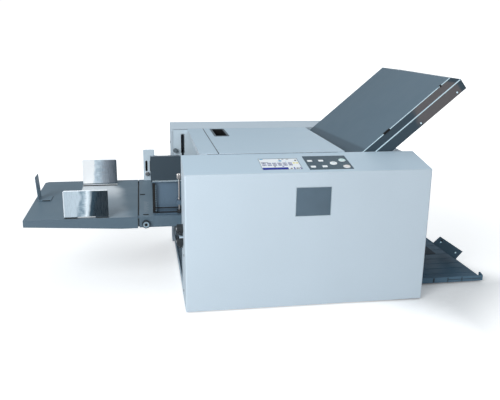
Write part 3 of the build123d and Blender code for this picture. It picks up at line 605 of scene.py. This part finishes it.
# the upper fold plate in its own frame: its slanted end, from two of its corners,
# and the place along it where its front upper edge passes the deck's height
slab_low, slab_high = local_span("fold_plate_1_upper", slab)
top_end = local_span("fold_plate_1_upper", slab, lambda point: point.z > slab_high.z - 0.5 * MM)[1].x
end_slope = (slab_high.x - top_end) / (slab_high.z - slab_low.z)
front_edge_z = local_span("fold_plate_1_upper", slab, lambda point: point.y < slab_low.y + 0.5 * MM)[1].z
root_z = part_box("top_deck")[1].z
top_root = (root_z - front_edge_z * slab_axis.x) / slab_axis.z

slab_paint = slab_coat()
table_paint = table_coat()
handle_plastic = handle_coat()
screen_white = ink("screen_white", rgb(240, 245, 248), rough=0.5, glow=0.16)

node_look = {
    paint: "base_plate front_cabinet rear_cabinet end_cover top_deck top_cover",
    paint_end: "rear_frame guide_bracket",
    slate: "fold_plate_2",
    shaded_slate: "front_frame rear_guide",
    guide_slate: "front_guide",
    stop_slate: "end_stop",
    slab_paint: "fold_plate_1_upper fold_plate_1_lower",
    table_paint: "table_plate table_extension",
    steel: "tie_bars infeed_guide lift_carriage fold_stop_1 fold_stop_2",
    shaft: "cabinet_fasteners motor_rotor lift_guide_rods",
    knob_steel: "guide_clamp bracket_thumbscrew",
    front_plate_steel: "front_paper_plate",
    rear_plate_steel: "rear_paper_plate",
    roller_metal: "fold_roller_1 fold_roller_2 fold_roller_3 fold_roller_4",
    roller_rubber: "separator_pad feed_roller",
    foot_rubber: "rubber_feet stacker_wheels",
    belt_rubber: "drive_belts",
    bronze: "roller_bushes",
    motor_paint: "drive_motor",
    board: "control_board",
    black_plastic: "power_panel power_switch apron_knob upper_catch lower_catch",
    handle_plastic: "cover_handle",
    tray_plastic: "delivery_chute delivery_tray",
    arm_plastic: "delivery_arm",
    badge_plastic: "name_badge",
    screen_white: "display_screen",
    panel_plastic: "control_panel",
    key_white: "key_up key_plus key_down key_minus key_test key_start key_stop",
}
for look, names in node_look.items():
    for name in names.split():
        materials = frame["nodes"][name].data.materials
        materials.clear()
        materials.append(look.material)


# ---- badge, screen and keys
def border(name, node, matrix, look, width, height, grow=0.0):
    """A thin frame on a flat piece, its outer edge moved out by grow."""
    low, high = local_span(node, matrix)
    bm = bmesh.new()
    add_border(
        bm, low.x - grow, high.x + grow, low.y - grow, high.y + grow, width, high.z, high.z + height
    )
    piece(name, bm, matrix, "chassis", look)


def menu_blocks():
    """The screen's blocks: ink, then left, right, bottom and top as shares of the screen."""
    blocks = [
        ("sky", 0.03, 0.11, 0.93, 0.98), ("brown", 0.52, 0.56, 0.93, 0.97),
        ("grey", 0.60, 0.65, 0.92, 0.96), ("brown", 0.71, 0.78, 0.92, 0.96),
        ("grey", 0.02, 0.21, 0.66, 0.69), ("dark", 0.92, 0.97, 0.78, 0.88),
        ("yellow", 0.84, 0.90, 0.53, 0.63), ("yellow", 0.92, 0.98, 0.53, 0.63),
        ("blue", 0.01, 0.66, 0.02, 0.20), ("dark", 0.71, 0.76, 0.06, 0.14),
        ("blue", 0.80, 0.83, 0.02, 0.20), ("dark", 0.86, 0.90, 0.06, 0.15),
        ("dark", 0.91, 0.94, 0.06, 0.15), ("blue", 0.965, 0.99, 0.02, 0.20),
        ("blue", 0.53, 0.57, 0.25, 0.32), ("dark", 0.32, 0.36, 0.24, 0.30),
    ]
    pitch, cell = 0.135, 0.10
    side_line, level_line = 0.014, 0.020
    for row, (bottom, top) in enumerate(((0.52, 0.64), (0.36, 0.48))):
        for column in range(6):
            left = 0.04 + pitch * column
            right = left + cell
            blocks.append(("lilac", left, right, top - level_line, top))
            blocks.append(("lilac", left, right, bottom, bottom + level_line))
            blocks.append(("lilac", left, left + side_line, bottom, top))
            blocks.append(("lilac", right - side_line, right, bottom, top))
            mark = "grey" if (row + column) % 3 else "dark"
            blocks.append((mark, left + 0.025, right - 0.028, bottom + 0.038, top - 0.038))
    return blocks


def screen_marks():
    """Lit blocks on the screen: no letters or symbols, only the layout of a plain menu."""
    low, high = local_span("display_screen", shelf)
    wide = high.x - low.x
    deep = high.y - low.y
    film_low = high.z + 0.01 * MM
    film_high = high.z + 0.06 * MM
    inks = {
        "sky": rgb(70, 176, 214), "cyan": rgb(0, 146, 198), "lilac": rgb(70, 68, 150),
        "grey": rgb(78, 80, 98), "dark": rgb(20, 20, 34), "yellow": rgb(246, 232, 120),
        "blue": rgb(26, 44, 158), "brown": rgb(128, 98, 80),
    }
    # a round mark and a three-cornered one: middle, half sizes and corners
    cyan_marks = ((0.54, 0.80, 0.045, 0.055, 24), (0.69, 0.765, 0.022, 0.035, 3))
    blocks = menu_blocks()
    for tint, colour in inks.items():
        bm = bmesh.new()
        for kind, left, right, bottom, top in blocks:
            if kind == tint:
                corner = (low.x + left * wide, low.y + bottom * deep, film_low)
                add_box(bm, corner, (low.x + right * wide, low.y + top * deep, film_high))
        if tint == "cyan":
            for u, v, half_u, half_v, steps in cyan_marks:
                outline = []
                for step in range(steps):
                    angle = 2 * math.pi * step / steps + math.pi / 2
                    x = low.x + (u + half_u * math.cos(angle)) * wide
                    y = low.y + (v + half_v * math.sin(angle)) * deep
                    outline.append((x, y))
                add_prism(bm, outline, film_low, film_high)
        lit = ink("screen_" + tint, colour, rough=0.6, glow=0.05)
        piece("screen_" + tint, bm, shelf, "chassis", lit)
    border(
        "screen_bezel", "display_screen", shelf, panel_plastic,
        0.7 * MM, 0.45 * MM, grow=0.7 * MM,
    )


def round_key_details(key, bar_colour, ring_colour, low, high, centre):
    """A short bar on a round key's cap, and a ring round it where a colour is given."""
    radius = (high.x - low.x) / 2
    body = key + "_cap"
    bm = bmesh.new()
    bar = rounded_outline(
        centre[0] - 0.5 * radius, centre[0] + 0.5 * radius,
        centre[1] - 0.16 * radius, centre[1] + 0.16 * radius, 0.15 * radius,
    )
    add_prism(bm, bar, high.z - 0.02 * MM, high.z + 0.08 * MM)
    piece(key + "_bar", bm, shelf, body, ink(key + "_bar", bar_colour))
    if ring_colour:
        bm = bmesh.new()
        profile = (
            (0.78 * radius, high.z - 0.02 * MM), (0.80 * radius, high.z + 0.12 * MM),
            (0.93 * radius, high.z + 0.12 * MM), (0.95 * radius, high.z - 0.05 * MM),
        )
        add_lathe(bm, profile + (profile[0],), centre)
        piece(key + "_ring", bm, shelf, body, moulded(key + "_ring", ring_colour, grain=0.05))


def key_details():
    """Bars and rings on the round keys, and faint blank strokes beside every key."""
    surface = local_span("control_panel", shelf)[1].z
    strokes = bmesh.new()

    def stroke(x, y, length, width):
        add_box(strokes, (x, y, surface), (x + length, y + width, surface + 0.05 * MM))

    for key in ("key_up", "key_plus", "key_down", "key_minus"):
        low, high = local_span(key, shelf, lambda point: point.z > surface)
        width = high.x - low.x
        for start, share in ((-0.15, 0.35), (0.3, 0.5), (0.9, 0.3)):
            stroke(low.x + start * width, high.y + 2.0 * MM, share * width, 1.3 * MM)
    round_keys = (
        ("key_test", "key_grey", rgb(176, 196, 206), None),
        ("key_start", "key_green", rgb(84, 196, 190), rgb(96, 206, 198)),
        ("key_stop", "key_orange", rgb(226, 178, 158), rgb(214, 196, 178)),
    )
    for key, slot, bar_colour, ring_colour in round_keys:
        low, high = local_span(key, shelf, lambda point: point.z > surface)
        centre = ((low.x + high.x) / 2, (low.y + high.y) / 2)
        radius = (high.x - low.x) / 2
        round_key_details(key, bar_colour, ring_colour, low, high, centre)
        for step in range(4):
            x = centre[0] + (0.35 * step - 1.25) * radius
            stroke(x, centre[1] + 1.2 * radius, 0.2 * radius, 1.2 * MM)
    piece("panel_strokes", strokes, shelf, "chassis", print_pale)
    border("panel_rim", "control_panel", shelf, panel_plastic, 0.8 * MM, 0.2 * MM)


border("badge_border", "name_badge", facing_front, silver_edge, 0.9 * MM, 0.25 * MM)
screen_marks()
key_details()


# ---- screws
def add_screw(bm, centre, height, radius):
    """A pan head with a raised cross, on a local plane at the given height."""
    head = 1.3 * MM
    top = height + head
    profile = (
        (radius, height), (radius, height + 0.35 * head), (0.86 * radius, height + 0.75 * head),
        (0.55 * radius, top), (0, top),
    )
    add_lathe(bm, profile, centre, segments=24)
    reach = 0.5 * radius
    half = 0.13 * radius
    for half_x, half_y in ((reach, half), (half, reach)):
        add_box(
            bm, (centre[0] - half_x, centre[1] - half_y, top - 0.02 * MM),
            (centre[0] + half_x, centre[1] + half_y, top + 0.06 * MM),
        )


def screws(name, matrix, body, places, height, radius, look):
    """A group of equal screws in one plane."""
    bm = bmesh.new()
    for place in places:
        add_screw(bm, place, height, radius)
    piece(name, bm, matrix, body, look)


def cabinet_screws():
    """Screws on the back, on the delivery end and on its cover."""
    low, high = local_span("rear_cabinet", facing_back)
    columns = (low.x + 14 * MM, (low.x + high.x) / 2, high.x - 14 * MM)
    places = [(x, y) for x in columns for y in (low.y + 18 * MM, high.y - 18 * MM)]
    screws("rear_screws", facing_back, "chassis", places, high.z, 3.2 * MM, shaft)
    low, high = local_span("front_cabinet", facing_right)
    places = [(x, low.y + 24 * MM) for x in (low.x + 30 * MM, high.x - 18 * MM)]
    screws("end_screws", facing_right, "chassis", places, high.z, 3.0 * MM, shaft)
    low, high = local_span("end_cover", facing_right)
    columns = (low.x + 12 * MM, high.x - 12 * MM)
    places = [(x, y) for x in columns for y in (low.y + 14 * MM, high.y - 14 * MM)]
    screws("end_cover_screws", facing_right, "chassis", places, high.z, 2.6 * MM, shaft)


cabinet_screws()


# ---- upper fold plate
def fold_plate_details():
    """Bare edges and screws in glowing pale steel, a painted highlight, and two black clips and a pad on the
    upper fold plate.
    """
    body = "upper_fold_plate"
    front = slab_low.y
    edge_end = slab_high.x - (front_edge_z - slab_low.z) * end_slope
    foot_end = local_span("fold_plate_1_lower", slab)[1].x - 1.5 * MM
    start = slab_low.x + 20 * MM
    edge = ((start, front, front_edge_z), (edge_end, front, front_edge_z))
    foot = ((start, front, slab_low.z), (foot_end, front, slab_low.z))
    # the bare edges are glowing pale steel: a painted highlight
    boxes("fold_plate_bare_edges_painted_highlight", body, glowing_pale_steel, (
        (moved(edge[0], 0, -0.6, -1.3), moved(edge[1], 0, 0.9, 0.4), 0.2),
        (moved(foot[0], 0, -0.9, -2.0), moved(foot[1], 0, 0.4, 0.5), 0.2),
    ), slab)
    latch = (top_root + 0.262 * (edge_end - top_root), front, front_edge_z)
    clip = (edge_end - 29 * MM, front, front_edge_z)
    boxes("fold_plate_latches", body, void_black, (
        (moved(latch, -9.5, -2.0, -2.5), moved(latch, 9.5, 3, 2.0), 0.5),
        (moved(clip, -2.5, -1.6, -2.5), moved(clip, 2.5, 2.5, 1.8), 0.4),
    ), slab)
    boxes("fold_plate_clip_pad", body, stop_slate, (
        (moved(clip, -8.5, -0.8, -0.5), moved(clip, -4, 2.5, 1.4), 0.4),
    ), slab)
    face = local_frame((0, 0, 0), slab_axis, (0, -1, 0))
    low, high = local_span("fold_plate_1_lower", face)
    places = [(low.x + share * (high.x - low.x), low.y + 7 * MM) for share in (0.585, 0.925)]
    screws("fold_plate_screws", face, body, places, high.z, 2.2 * MM, glowing_pale_steel)


fold_plate_details()


# ---- feed table pieces
def front_guide_details():
    """The front guide's bright lip, its toothed end and its two rails."""
    low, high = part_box("front_guide")
    body = "front_side_guide"
    lip = ((low.x, high.y, high.z), high)
    spans = [(moved(lip[0], 0, -8.6, 0), moved(lip[1], 0, 0.4, 0.9), 0.25)]
    for share in (0.08, 0.5, 0.78):
        pad = (low.x + share * (high.x - low.x), high.y, high.z)
        spans.append((moved(pad, -3, -6, 0.8), moved(pad, 3, -2, 2.0), 0.3))
    boxes("front_guide_lip", body, silver_edge, spans)

    rail_y = high.y - 10.5 * MM
    notches = 12
    pitch = (high.z - low.z - 12 * MM) / notches
    spans = []
    for step in range(notches):
        z = low.z + 7 * MM + step * pitch
        top = (low.x, rail_y, z + 0.5 * pitch)
        spans.append((moved((low.x, rail_y, z), 6.0, -2.2, 0), moved(top, 8.4, -0.4, 0), 0.2))
    boxes("front_guide_teeth", body, stop_slate, spans)

    post = ((low.x, rail_y, low.z), (low.x, rail_y, high.z))
    spans = [(moved(post[0], -0.5, -2.2, 3), moved(post[1], 6, 0, -2), 0.3)]
    for z in (low.z + 14 * MM, low.z + 3.2 * MM):
        rail = ((low.x, rail_y, z), (high.x, rail_y, z))
        spans.append((moved(rail[0], 6, -3, 0), moved(rail[1], -2, 0.6, 1.8), 0.3))
    boxes("front_guide_rails", body, void_black, spans)


def rear_guide_details():
    """The rear guide's steel lip and its three raised pads."""
    low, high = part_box("rear_guide")
    lip = ((low.x, low.y, high.z), (high.x, low.y, high.z))
    spans = [(moved(lip[0], 0, -0.3, 0), moved(lip[1], 0, 12, 0.7), 0.25)]
    for share in (0.12, 0.46, 0.62):
        pad = (low.x + share * (high.x - low.x), low.y, high.z)
        spans.append((moved(pad, -5, 1, 0.6), moved(pad, 5, 6, 2.4), 0.4))
    boxes("rear_guide_lip", "rear_side_guide", steel, spans)


def clamp_knob():
    """A knurled thumb nut on its rod, standing for the plain CAD one, and the two halves of its foot."""
    low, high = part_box("guide_clamp")
    x, y = (low.x + high.x) / 2, (low.y + high.y) / 2
    rod = 2.0 * MM
    rod_top = high.z - 11.5 * MM
    collar = high.z - 61 * MM
    grip = 5.0 * MM
    bottom = high.z - 12 * MM
    bm = bmesh.new()
    add_lathe(bm, ((0, low.z), (rod, low.z), (rod, rod_top), (0, rod_top)), (x, y), 24)
    add_lathe(
        bm,
        ((rod, collar), (3.5 * MM, collar + 0.4 * MM), (3.5 * MM, collar + 3.6 * MM), (rod, collar + 4 * MM)),
        (x, y), 32,
    )
    profile = (
        (0, bottom), (0.86 * grip, bottom), (grip, bottom + 1.2 * MM), (grip, high.z - 1.4 * MM),
        (0.84 * grip, high.z - 0.3 * MM), (0.45 * grip, high.z - 0.2 * MM),
        (0.38 * grip, high.z - 0.9 * MM), (0, high.z - 0.9 * MM),
    )
    add_lathe(bm, profile, (x, y), segments=144, ripple=0.07, ripples=36)
    made = piece("guide_clamp_nut", bm, world_axes, "clamp_knob", knob_steel, smooth=50)
    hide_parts("guide_clamp")
    foot = (x, y, low.z)
    boxes("clamp_foot_block", "front_side_guide", black_plastic, (
        (moved(foot, -5, -6, 0), moved(foot, 5, -2.6, 7), 0.6),
        (moved(foot, -5, 2.6, 0), moved(foot, 5, 6, 7), 0.6),
    ))


def table_knob():
    """A ribbed knob with a pale dished face and a dark middle."""
    low, high = local_span("apron_knob", facing_front)
    centre = ((low.x + high.x) / 2, (low.y + high.y) / 2)
    radius = (high.x - low.x) / 2
    face = high.z - 1.0 * MM
    bm = bmesh.new()
    profile = (
        (0, low.z), (radius, low.z), (radius, high.z - 2.2 * MM), (0.92 * radius, high.z - 0.8 * MM),
        (0.82 * radius, high.z - 0.2 * MM), (0.80 * radius, face), (0, face),
    )
    add_lathe(bm, profile, centre, segments=120, ripple=0.06, ripples=20)
    made = piece("apron_knob_grip", bm, facing_front, "table_knob", black_plastic, smooth=50)
    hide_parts("apron_knob")
    bm = bmesh.new()
    profile = (
        (0.36 * radius, face), (0.40 * radius, face + 0.6 * MM), (0.72 * radius, face + 0.9 * MM),
        (0.78 * radius, face),
    )
    add_lathe(bm, profile + (profile[0],), centre, segments=64)
    ring = moulded("knob_ring_plastic", rgb(140, 160, 172), rough=0.35)
    piece("apron_knob_ring", bm, facing_front, "table_knob", ring)
    bm = bmesh.new()
    profile = ((0, face), (0.28 * radius, face), (0.24 * radius, face + 0.7 * MM), (0, face + 0.8 * MM))
    add_lathe(bm, profile, centre, 32)
    piece("apron_knob_screw", bm, facing_front, "table_knob", void_black)


def table_marks():
    """Ruled ticks, the seam to the extension, and black patches in the table's slots and behind the bracket's
    slots: painted shade.
    """
    low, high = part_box("table_plate")
    guide_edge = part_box("front_guide")[1].y
    spans = []
    for step in range(9):
        tick = (low.x + 14.5 * MM, guide_edge + (16 + step * 10.5) * MM, high.z)
        spans.append((tick, moved(tick, 11 if step % 2 else 7, 0.8, 0.04), 0))
    boxes("table_ticks", "feed_table", print_line, spans)

    hinge = joints["extension_fold"]["pos_m"]
    front = (hinge[0], low.y, hinge[2])
    back = (hinge[0], high.y, hinge[2])
    boxes("table_seam_seal", "feed_table", black_plastic, (
        (moved(front, -8.5, 3, -3.7), moved(back, 8.5, -3, -2.7), 0.2),
        (moved((hinge[0], low.y, low.z), -8.5, 1.7, 2), moved(front, 8.5, 2.6, -2.7), 0.2),
    ))

    # painted shade: black patches that darken the table's slots
    spans = []
    for x, y, half in ((11.7, 202, 5.5), (18.2, 16, 4)):
        slot = moved((low.x, low.y, high.z), x, y, 0)
        spans.append((moved(slot, -6.5, -half, -0.5), moved(slot, 6.5, half, 0.3), 0.15))
    boxes("table_slot_painted_shade", "feed_table", void_black, spans)

    # painted shade: a black plate behind the bracket, so its slots look dark
    low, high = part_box("guide_bracket")
    back = (low.x, high.y, low.z)
    boxes("bracket_slot_painted_shade", "feed_table", void_black, (
        (moved(back, 1.5, 0.1, 12), moved(high, -1.5, 0.9, -1), 0.2),
    ))


front_guide_details()
rear_guide_details()
clamp_knob()
table_knob()
table_marks()


# ---- paper plates and end stop
def foot_details():
    """Dark strips along the feet of the two paper plates and of the end stop: their dark edges and the
    painted shadow under them.
    """
    for node, body, shares in (
        ("front_paper_plate", "front_plate", ((0.02, 0.30), (0.72, 0.99))),
        ("rear_paper_plate", "rear_plate", ((0.01, 0.99),)),
    ):
        low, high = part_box(node)
        spans = []
        for left, right in shares:
            x0 = low.x + left * (high.x - low.x)
            x1 = low.x + right * (high.x - low.x)
            corner = moved((x0, low.y, low.z), 0, -1.2, 0.3)
            spans.append((corner, moved((x1, low.y, low.z), 0, 0.1, 2.6), 0.3))
        # painted shadow under the foot, over its dark edge
        boxes(node + "_foot_edge_and_shadow", body, black_plastic, spans)
    low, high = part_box("end_stop")
    boxes("end_stop_foot_edge_and_shadow", "paper_end_stop", black_plastic, (
        (moved(low, 14, -1.0, 0.3), moved((high.x, low.y, low.z), -1, 0.1, 2.2), 0.3),
    ))


foot_details()


# ---- throat of the machine
def throat_knob():
    """The ribbed knob on the wall of the rear frame."""
    wall = -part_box("rear_frame")[0].y
    centre = (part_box("rear_cabinet")[0].x + 12.5 * MM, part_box("top_deck")[1].z - 61 * MM)
    bm = bmesh.new()
    profile = (
        (0, wall), (3 * MM, wall), (3 * MM, wall + 4 * MM), (6 * MM, wall + 4.4 * MM),
        (6.4 * MM, wall + 11 * MM), (5.4 * MM, wall + 12.6 * MM), (0, wall + 12.8 * MM),
    )
    add_lathe(bm, profile, centre, segments=72, ripple=0.06, ripples=18)
    grey_plastic = moulded("throat_knob_plastic", rgb(112, 124, 132), rough=0.5)
    piece("throat_knob", bm, facing_front, "chassis", grey_plastic, smooth=50)


def deck_seals():
    """A seal under the deck's lip and the seam between the deck and the hinged cover."""
    low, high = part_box("top_deck")
    lip = ((low.x, low.y, low.z), (low.x, high.y, low.z))
    boxes("deck_lip_seal", "chassis", black_plastic, (
        (moved(lip[0], 0.6, 30, -1.4), moved(lip[1], 3, -30, 0.2), 0.3),
    ))
    cover_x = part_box("top_cover")[0].x
    seam = ((cover_x, low.y, high.z), (cover_x, high.y, high.z))
    boxes("cover_seam", "chassis", black_plastic, (
        (moved(seam[0], -1.3, 1, -1), moved(seam[1], -0.2, -1, 0.1), 0.1),
    ))


def lift_slot_painted_shade():
    """A black band round the top of the slot that the table's lift runs in: painted shade round the slot."""
    frame_low, frame_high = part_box("rear_frame")
    rod_low, rod_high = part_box("lift_guide_rods")
    x = (rod_low.x + rod_high.x) / 2
    y = frame_low.y

    def in_slot(point):
        return abs(point.x - x) < 3.4 * MM and point.z < frame_high.z - 4 * MM

    top = (x, y, local_span("rear_frame", world_axes, in_slot)[1].z + 1.4 * MM)
    bottom = (x, y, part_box("top_deck")[1].z - 70 * MM)
    boxes("lift_slot_painted_shade", "chassis", void_black, (
        (moved(bottom, -4.9, -0.5, 0), moved(top, -3.4, 0.3, 0), 0.2),
        (moved(bottom, 3.4, -0.5, 0), moved(top, 4.9, 0.3, 0), 0.2),
        (moved(top, -4.9, -0.5, -1.4), moved(top, 4.9, 0.3, 0), 0.2),
    ))


def catch_rail():
    """The short rail between the two turn catches."""
    upper_low, upper_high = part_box("upper_catch")
    middle = (upper_low.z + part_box("lower_catch")[1].z) / 2
    rail = (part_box("front_cabinet")[0].x, (upper_low.y + upper_high.y) / 2, middle)
    boxes("catch_rail", "chassis", paint, (
        (moved(rail, -9, -11, -2.2), moved(rail, 0, 11, -0.4), 0.4),
    ))


throat_knob()
deck_seals()
lift_slot_painted_shade()
catch_rail()


# ---- delivery end
def arm_details():
    """Screw heads in glowing pale steel, a painted highlight, on the delivery arm and its wheels' axle, and a
    dark patch above the pivot, painted shade for a small hole.
    """
    low, high = local_span("delivery_arm", arm)
    pivot = (low.x + 17.5 * MM, low.y + 16 * MM)
    axle = (low.x + 72.5 * MM, low.y + 15 * MM)
    # the screw heads are glowing pale steel: a painted highlight
    screws("delivery_arm_screw", arm, "exit_arm", [pivot], high.z, 2.2 * MM, glowing_pale_steel)
    screws("stacker_axle_screw", arm, "exit_wheels", [axle], high.z + 1.5 * MM, 2.4 * MM, glowing_pale_steel)
    # the hole is not cut: a dark patch on the face, painted shade
    bm = bmesh.new()
    outline = rounded_outline(
        pivot[0] - 2.2 * MM, pivot[0] + 2.2 * MM, pivot[1] + 2.6 * MM, pivot[1] + 6.8 * MM, 1 * MM
    )
    add_prism(bm, outline, high.z, high.z + 0.15 * MM)
    piece("delivery_arm_hole_painted_shade", bm, arm, "exit_arm", void_black)


def tray_details():
    """Dark ribs and a dark groove strip on the tray's front wall, their dark colour painted shade, and a dark
    sheet in the tray's recess by the cabinet, also painted shade.
    """
    low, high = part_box("delivery_tray")
    length = (high.x - low.x) / MM
    spans = []
    for along, half in ((0.34 * length, 2.0), (107.5, 1.0), (145.9, 1.0)):
        spans.append((moved(low, along - half, -0.8, 1), moved(low, along + half, 0.3, 13), 0.3))
    spans.append((moved(low, 107.5, -0.6, 5.8), moved(low, length - 4, 0.3, 7.2), 0.3))
    # painted shade: the ribs and the groove strip are dark
    dark_tray = moulded("tray_rib_painted_shade", rgb(38, 54, 66), rough=0.45)
    boxes("tray_front_ribs", "chassis", dark_tray, spans)

    tray_floor = low.z + 5 * MM
    # painted shade: a dark sheet lies in the recess
    bm = bmesh.new()
    outline = rounded_outline(
        low.x + 3 * MM, low.x + 166.5 * MM, low.y + 187 * MM, low.y + 254 * MM, 4 * MM
    )
    add_prism(bm, outline, tray_floor - 0.1 * MM, tray_floor + 0.5 * MM)
    mat = moulded("tray_recess_shade_plastic", rgb(46, 60, 72), rough=0.7, spec=0.1, wear=0.05)
    piece("tray_recess_shade", bm, world_axes, "chassis", mat)


arm_details()
tray_details()


# ---- back of the machine
def rating_plate():
    """A blank rating plate on the back."""
    low, high = local_span("rear_cabinet", facing_back)
    right = high.x - 60 * MM
    outline = rounded_outline(right - 70 * MM, right, low.y + 52 * MM, low.y + 92 * MM, 3 * MM)
    bm = bmesh.new()
    add_prism(bm, outline, high.z, high.z + 0.4 * MM)
    foil = sheet_metal("rating_plate_foil", rgb(196, 202, 208), rough=0.4)
    piece("blank_rating_plate", bm, facing_back, "chassis", foil)


rating_plate()


# ---- rollers
def roller_sleeves():
    """Rubber bands between the steel lands of each fold roller."""
    bands = 7
    first = -200 * MM      # where the rubber starts, in local z, which runs to the front
    pitch = 330 * MM / bands
    for number in range(1, 5):
        node = f"fold_roller_{number}"
        joint = joints["main_roller_spin" if number == 3 else f"roller_{number}_spin"]
        centre = (joint["pos_m"][0], joint["pos_m"][2])
        radius = max(
            math.hypot(vertex.co.x - centre[0], vertex.co.z - centre[1])
            for vertex in frame["nodes"][node].data.vertices
            if vertex.co.y < 0
        )
        inner, outer = radius - 1 * MM, radius + 0.12 * MM
        bm = bmesh.new()
        for band in range(bands):
            start = first + band * pitch + 12 * MM
            end = start + pitch - 14 * MM
            profile = ((inner, start), (outer, start + 0.4 * MM), (outer, end - 0.4 * MM), (inner, end))
            add_lathe(bm, profile, centre, segments=64)
        body = f"roller_{number}"
        piece(body + "_sleeves", bm, facing_front, body, roller_rubber)


roller_sleeves()


# ---- floor, light and camera
def pale_floor():
    """A pale floor that fades to white away from the machine, keeps the soft shadow under its front and has a
    painted shadow under the near end of the delivery tray.
    """
    bm = bmesh.new()
    bmesh.ops.create_grid(bm, x_segments=1, y_segments=1, size=12)
    mesh = bpy.data.meshes.new("floor")
    bm.to_mesh(mesh)
    bm.free()
    floor = bpy.data.objects.new("floor", mesh)
    bpy.context.scene.collection.objects.link(floor)
    s = Shader("floor_paper")
    fibre = s.noise(60, detail=3)
    tone = s.mix(s.spread(fibre, 0, 1), (0.88, 0.88, 0.88, 1), (0.91, 0.91, 0.91, 1))
    distance = s.add("ShaderNodeVectorMath", {0: s.coordinates}, operation="LENGTH").outputs["Value"]
    # painted shadow: the floor glows least under the near end of the delivery tray
    away = s.maths("ABSOLUTE", s.minus(s.position("X"), 0.42))
    away = s.plus(away, s.maths("ABSOLUTE", s.plus(s.position("Y"), 0.20)))
    under = s.remap(away, 0.08, 0.34, 0.08, 0.52, smooth=True)
    far = s.remap(distance, 0.75, 1.9, 0, 1.0, smooth=True)
    lift = s.plus(under, s.times(far, s.minus(1.0, under)))
    seen_directly = s.add("ShaderNodeLightPath").outputs["Is Camera Ray"]
    glow = s.times(lift, seen_directly)
    s.set(colour=tone, rough=0.9, spec=0.1, emission=(1, 1, 1, 1), glow=glow)
    mesh.materials.append(s.material)


def room_light():
    """A white backdrop for the camera and a soft, slightly cool room for everything else."""
    world = bpy.data.worlds.new("studio")
    bpy.context.scene.world = world
    world.use_nodes = True
    tree = world.node_tree
    tree.nodes.clear()
    path = tree.nodes.new("ShaderNodeLightPath")
    choose = tree.nodes.new("ShaderNodeMixShader")
    out = tree.nodes.new("ShaderNodeOutputWorld")
    tree.links.new(path.outputs["Is Camera Ray"], choose.inputs[0])
    for socket, colour, strength in ((1, (0.89, 0.95, 1.0, 1), 0.40), (2, (1, 1, 1, 1), 1.05)):
        background = tree.nodes.new("ShaderNodeBackground")
        background.inputs["Color"].default_value = colour
        background.inputs["Strength"].default_value = strength
        tree.links.new(background.outputs[0], choose.inputs[socket])
    tree.links.new(choose.outputs[0], out.inputs["Surface"])


def lamps():
    """Three soft round lamps, all aimed at the middle of the machine."""
    target = Vector((0, -0.05, 0.2))
    for name, place, size, energy in (
        ("key", (-1.3, -1.6, 1.1), 1.1, 27),
        ("top", (0.1, 0.3, 2.2), 2.0, 4),
        ("back", (1.4, 2.0, 1.3), 1.6, 8),
    ):
        light = bpy.data.lights.new(name, "AREA")
        light.shape = "DISK"
        light.size = size
        light.energy = energy
        light.color = (0.95, 0.98, 1.0)
        lamp = bpy.data.objects.new(name, light)
        lamp.location = place
        lamp.rotation_euler = (target - Vector(place)).to_track_quat("-Z", "Y").to_euler()
        bpy.context.scene.collection.objects.link(lamp)
    bpy.context.scene.view_settings.view_transform = "Standard"


def view():
    """The camera, at the angle the machine was photographed from."""
    place = (-0.29322, -1.54924, 0.61578)
    turn, tilt, roll = -10.003, 74.716, 0.853
    data = bpy.data.cameras.new("camera")
    data.sensor_width = 36
    data.lens = 44.77
    camera = bpy.data.objects.new("camera", data)
    camera.matrix_world = (
        Matrix.Translation(place)
        @ Matrix.Rotation(math.radians(turn), 4, "Z")
        @ Matrix.Rotation(math.radians(tilt), 4, "X")
        @ Matrix.Rotation(math.radians(roll), 4, "Z")
    )
    bpy.context.scene.collection.objects.link(camera)
    bpy.context.scene.camera = camera


pale_floor()
room_light()
lamps()
view()
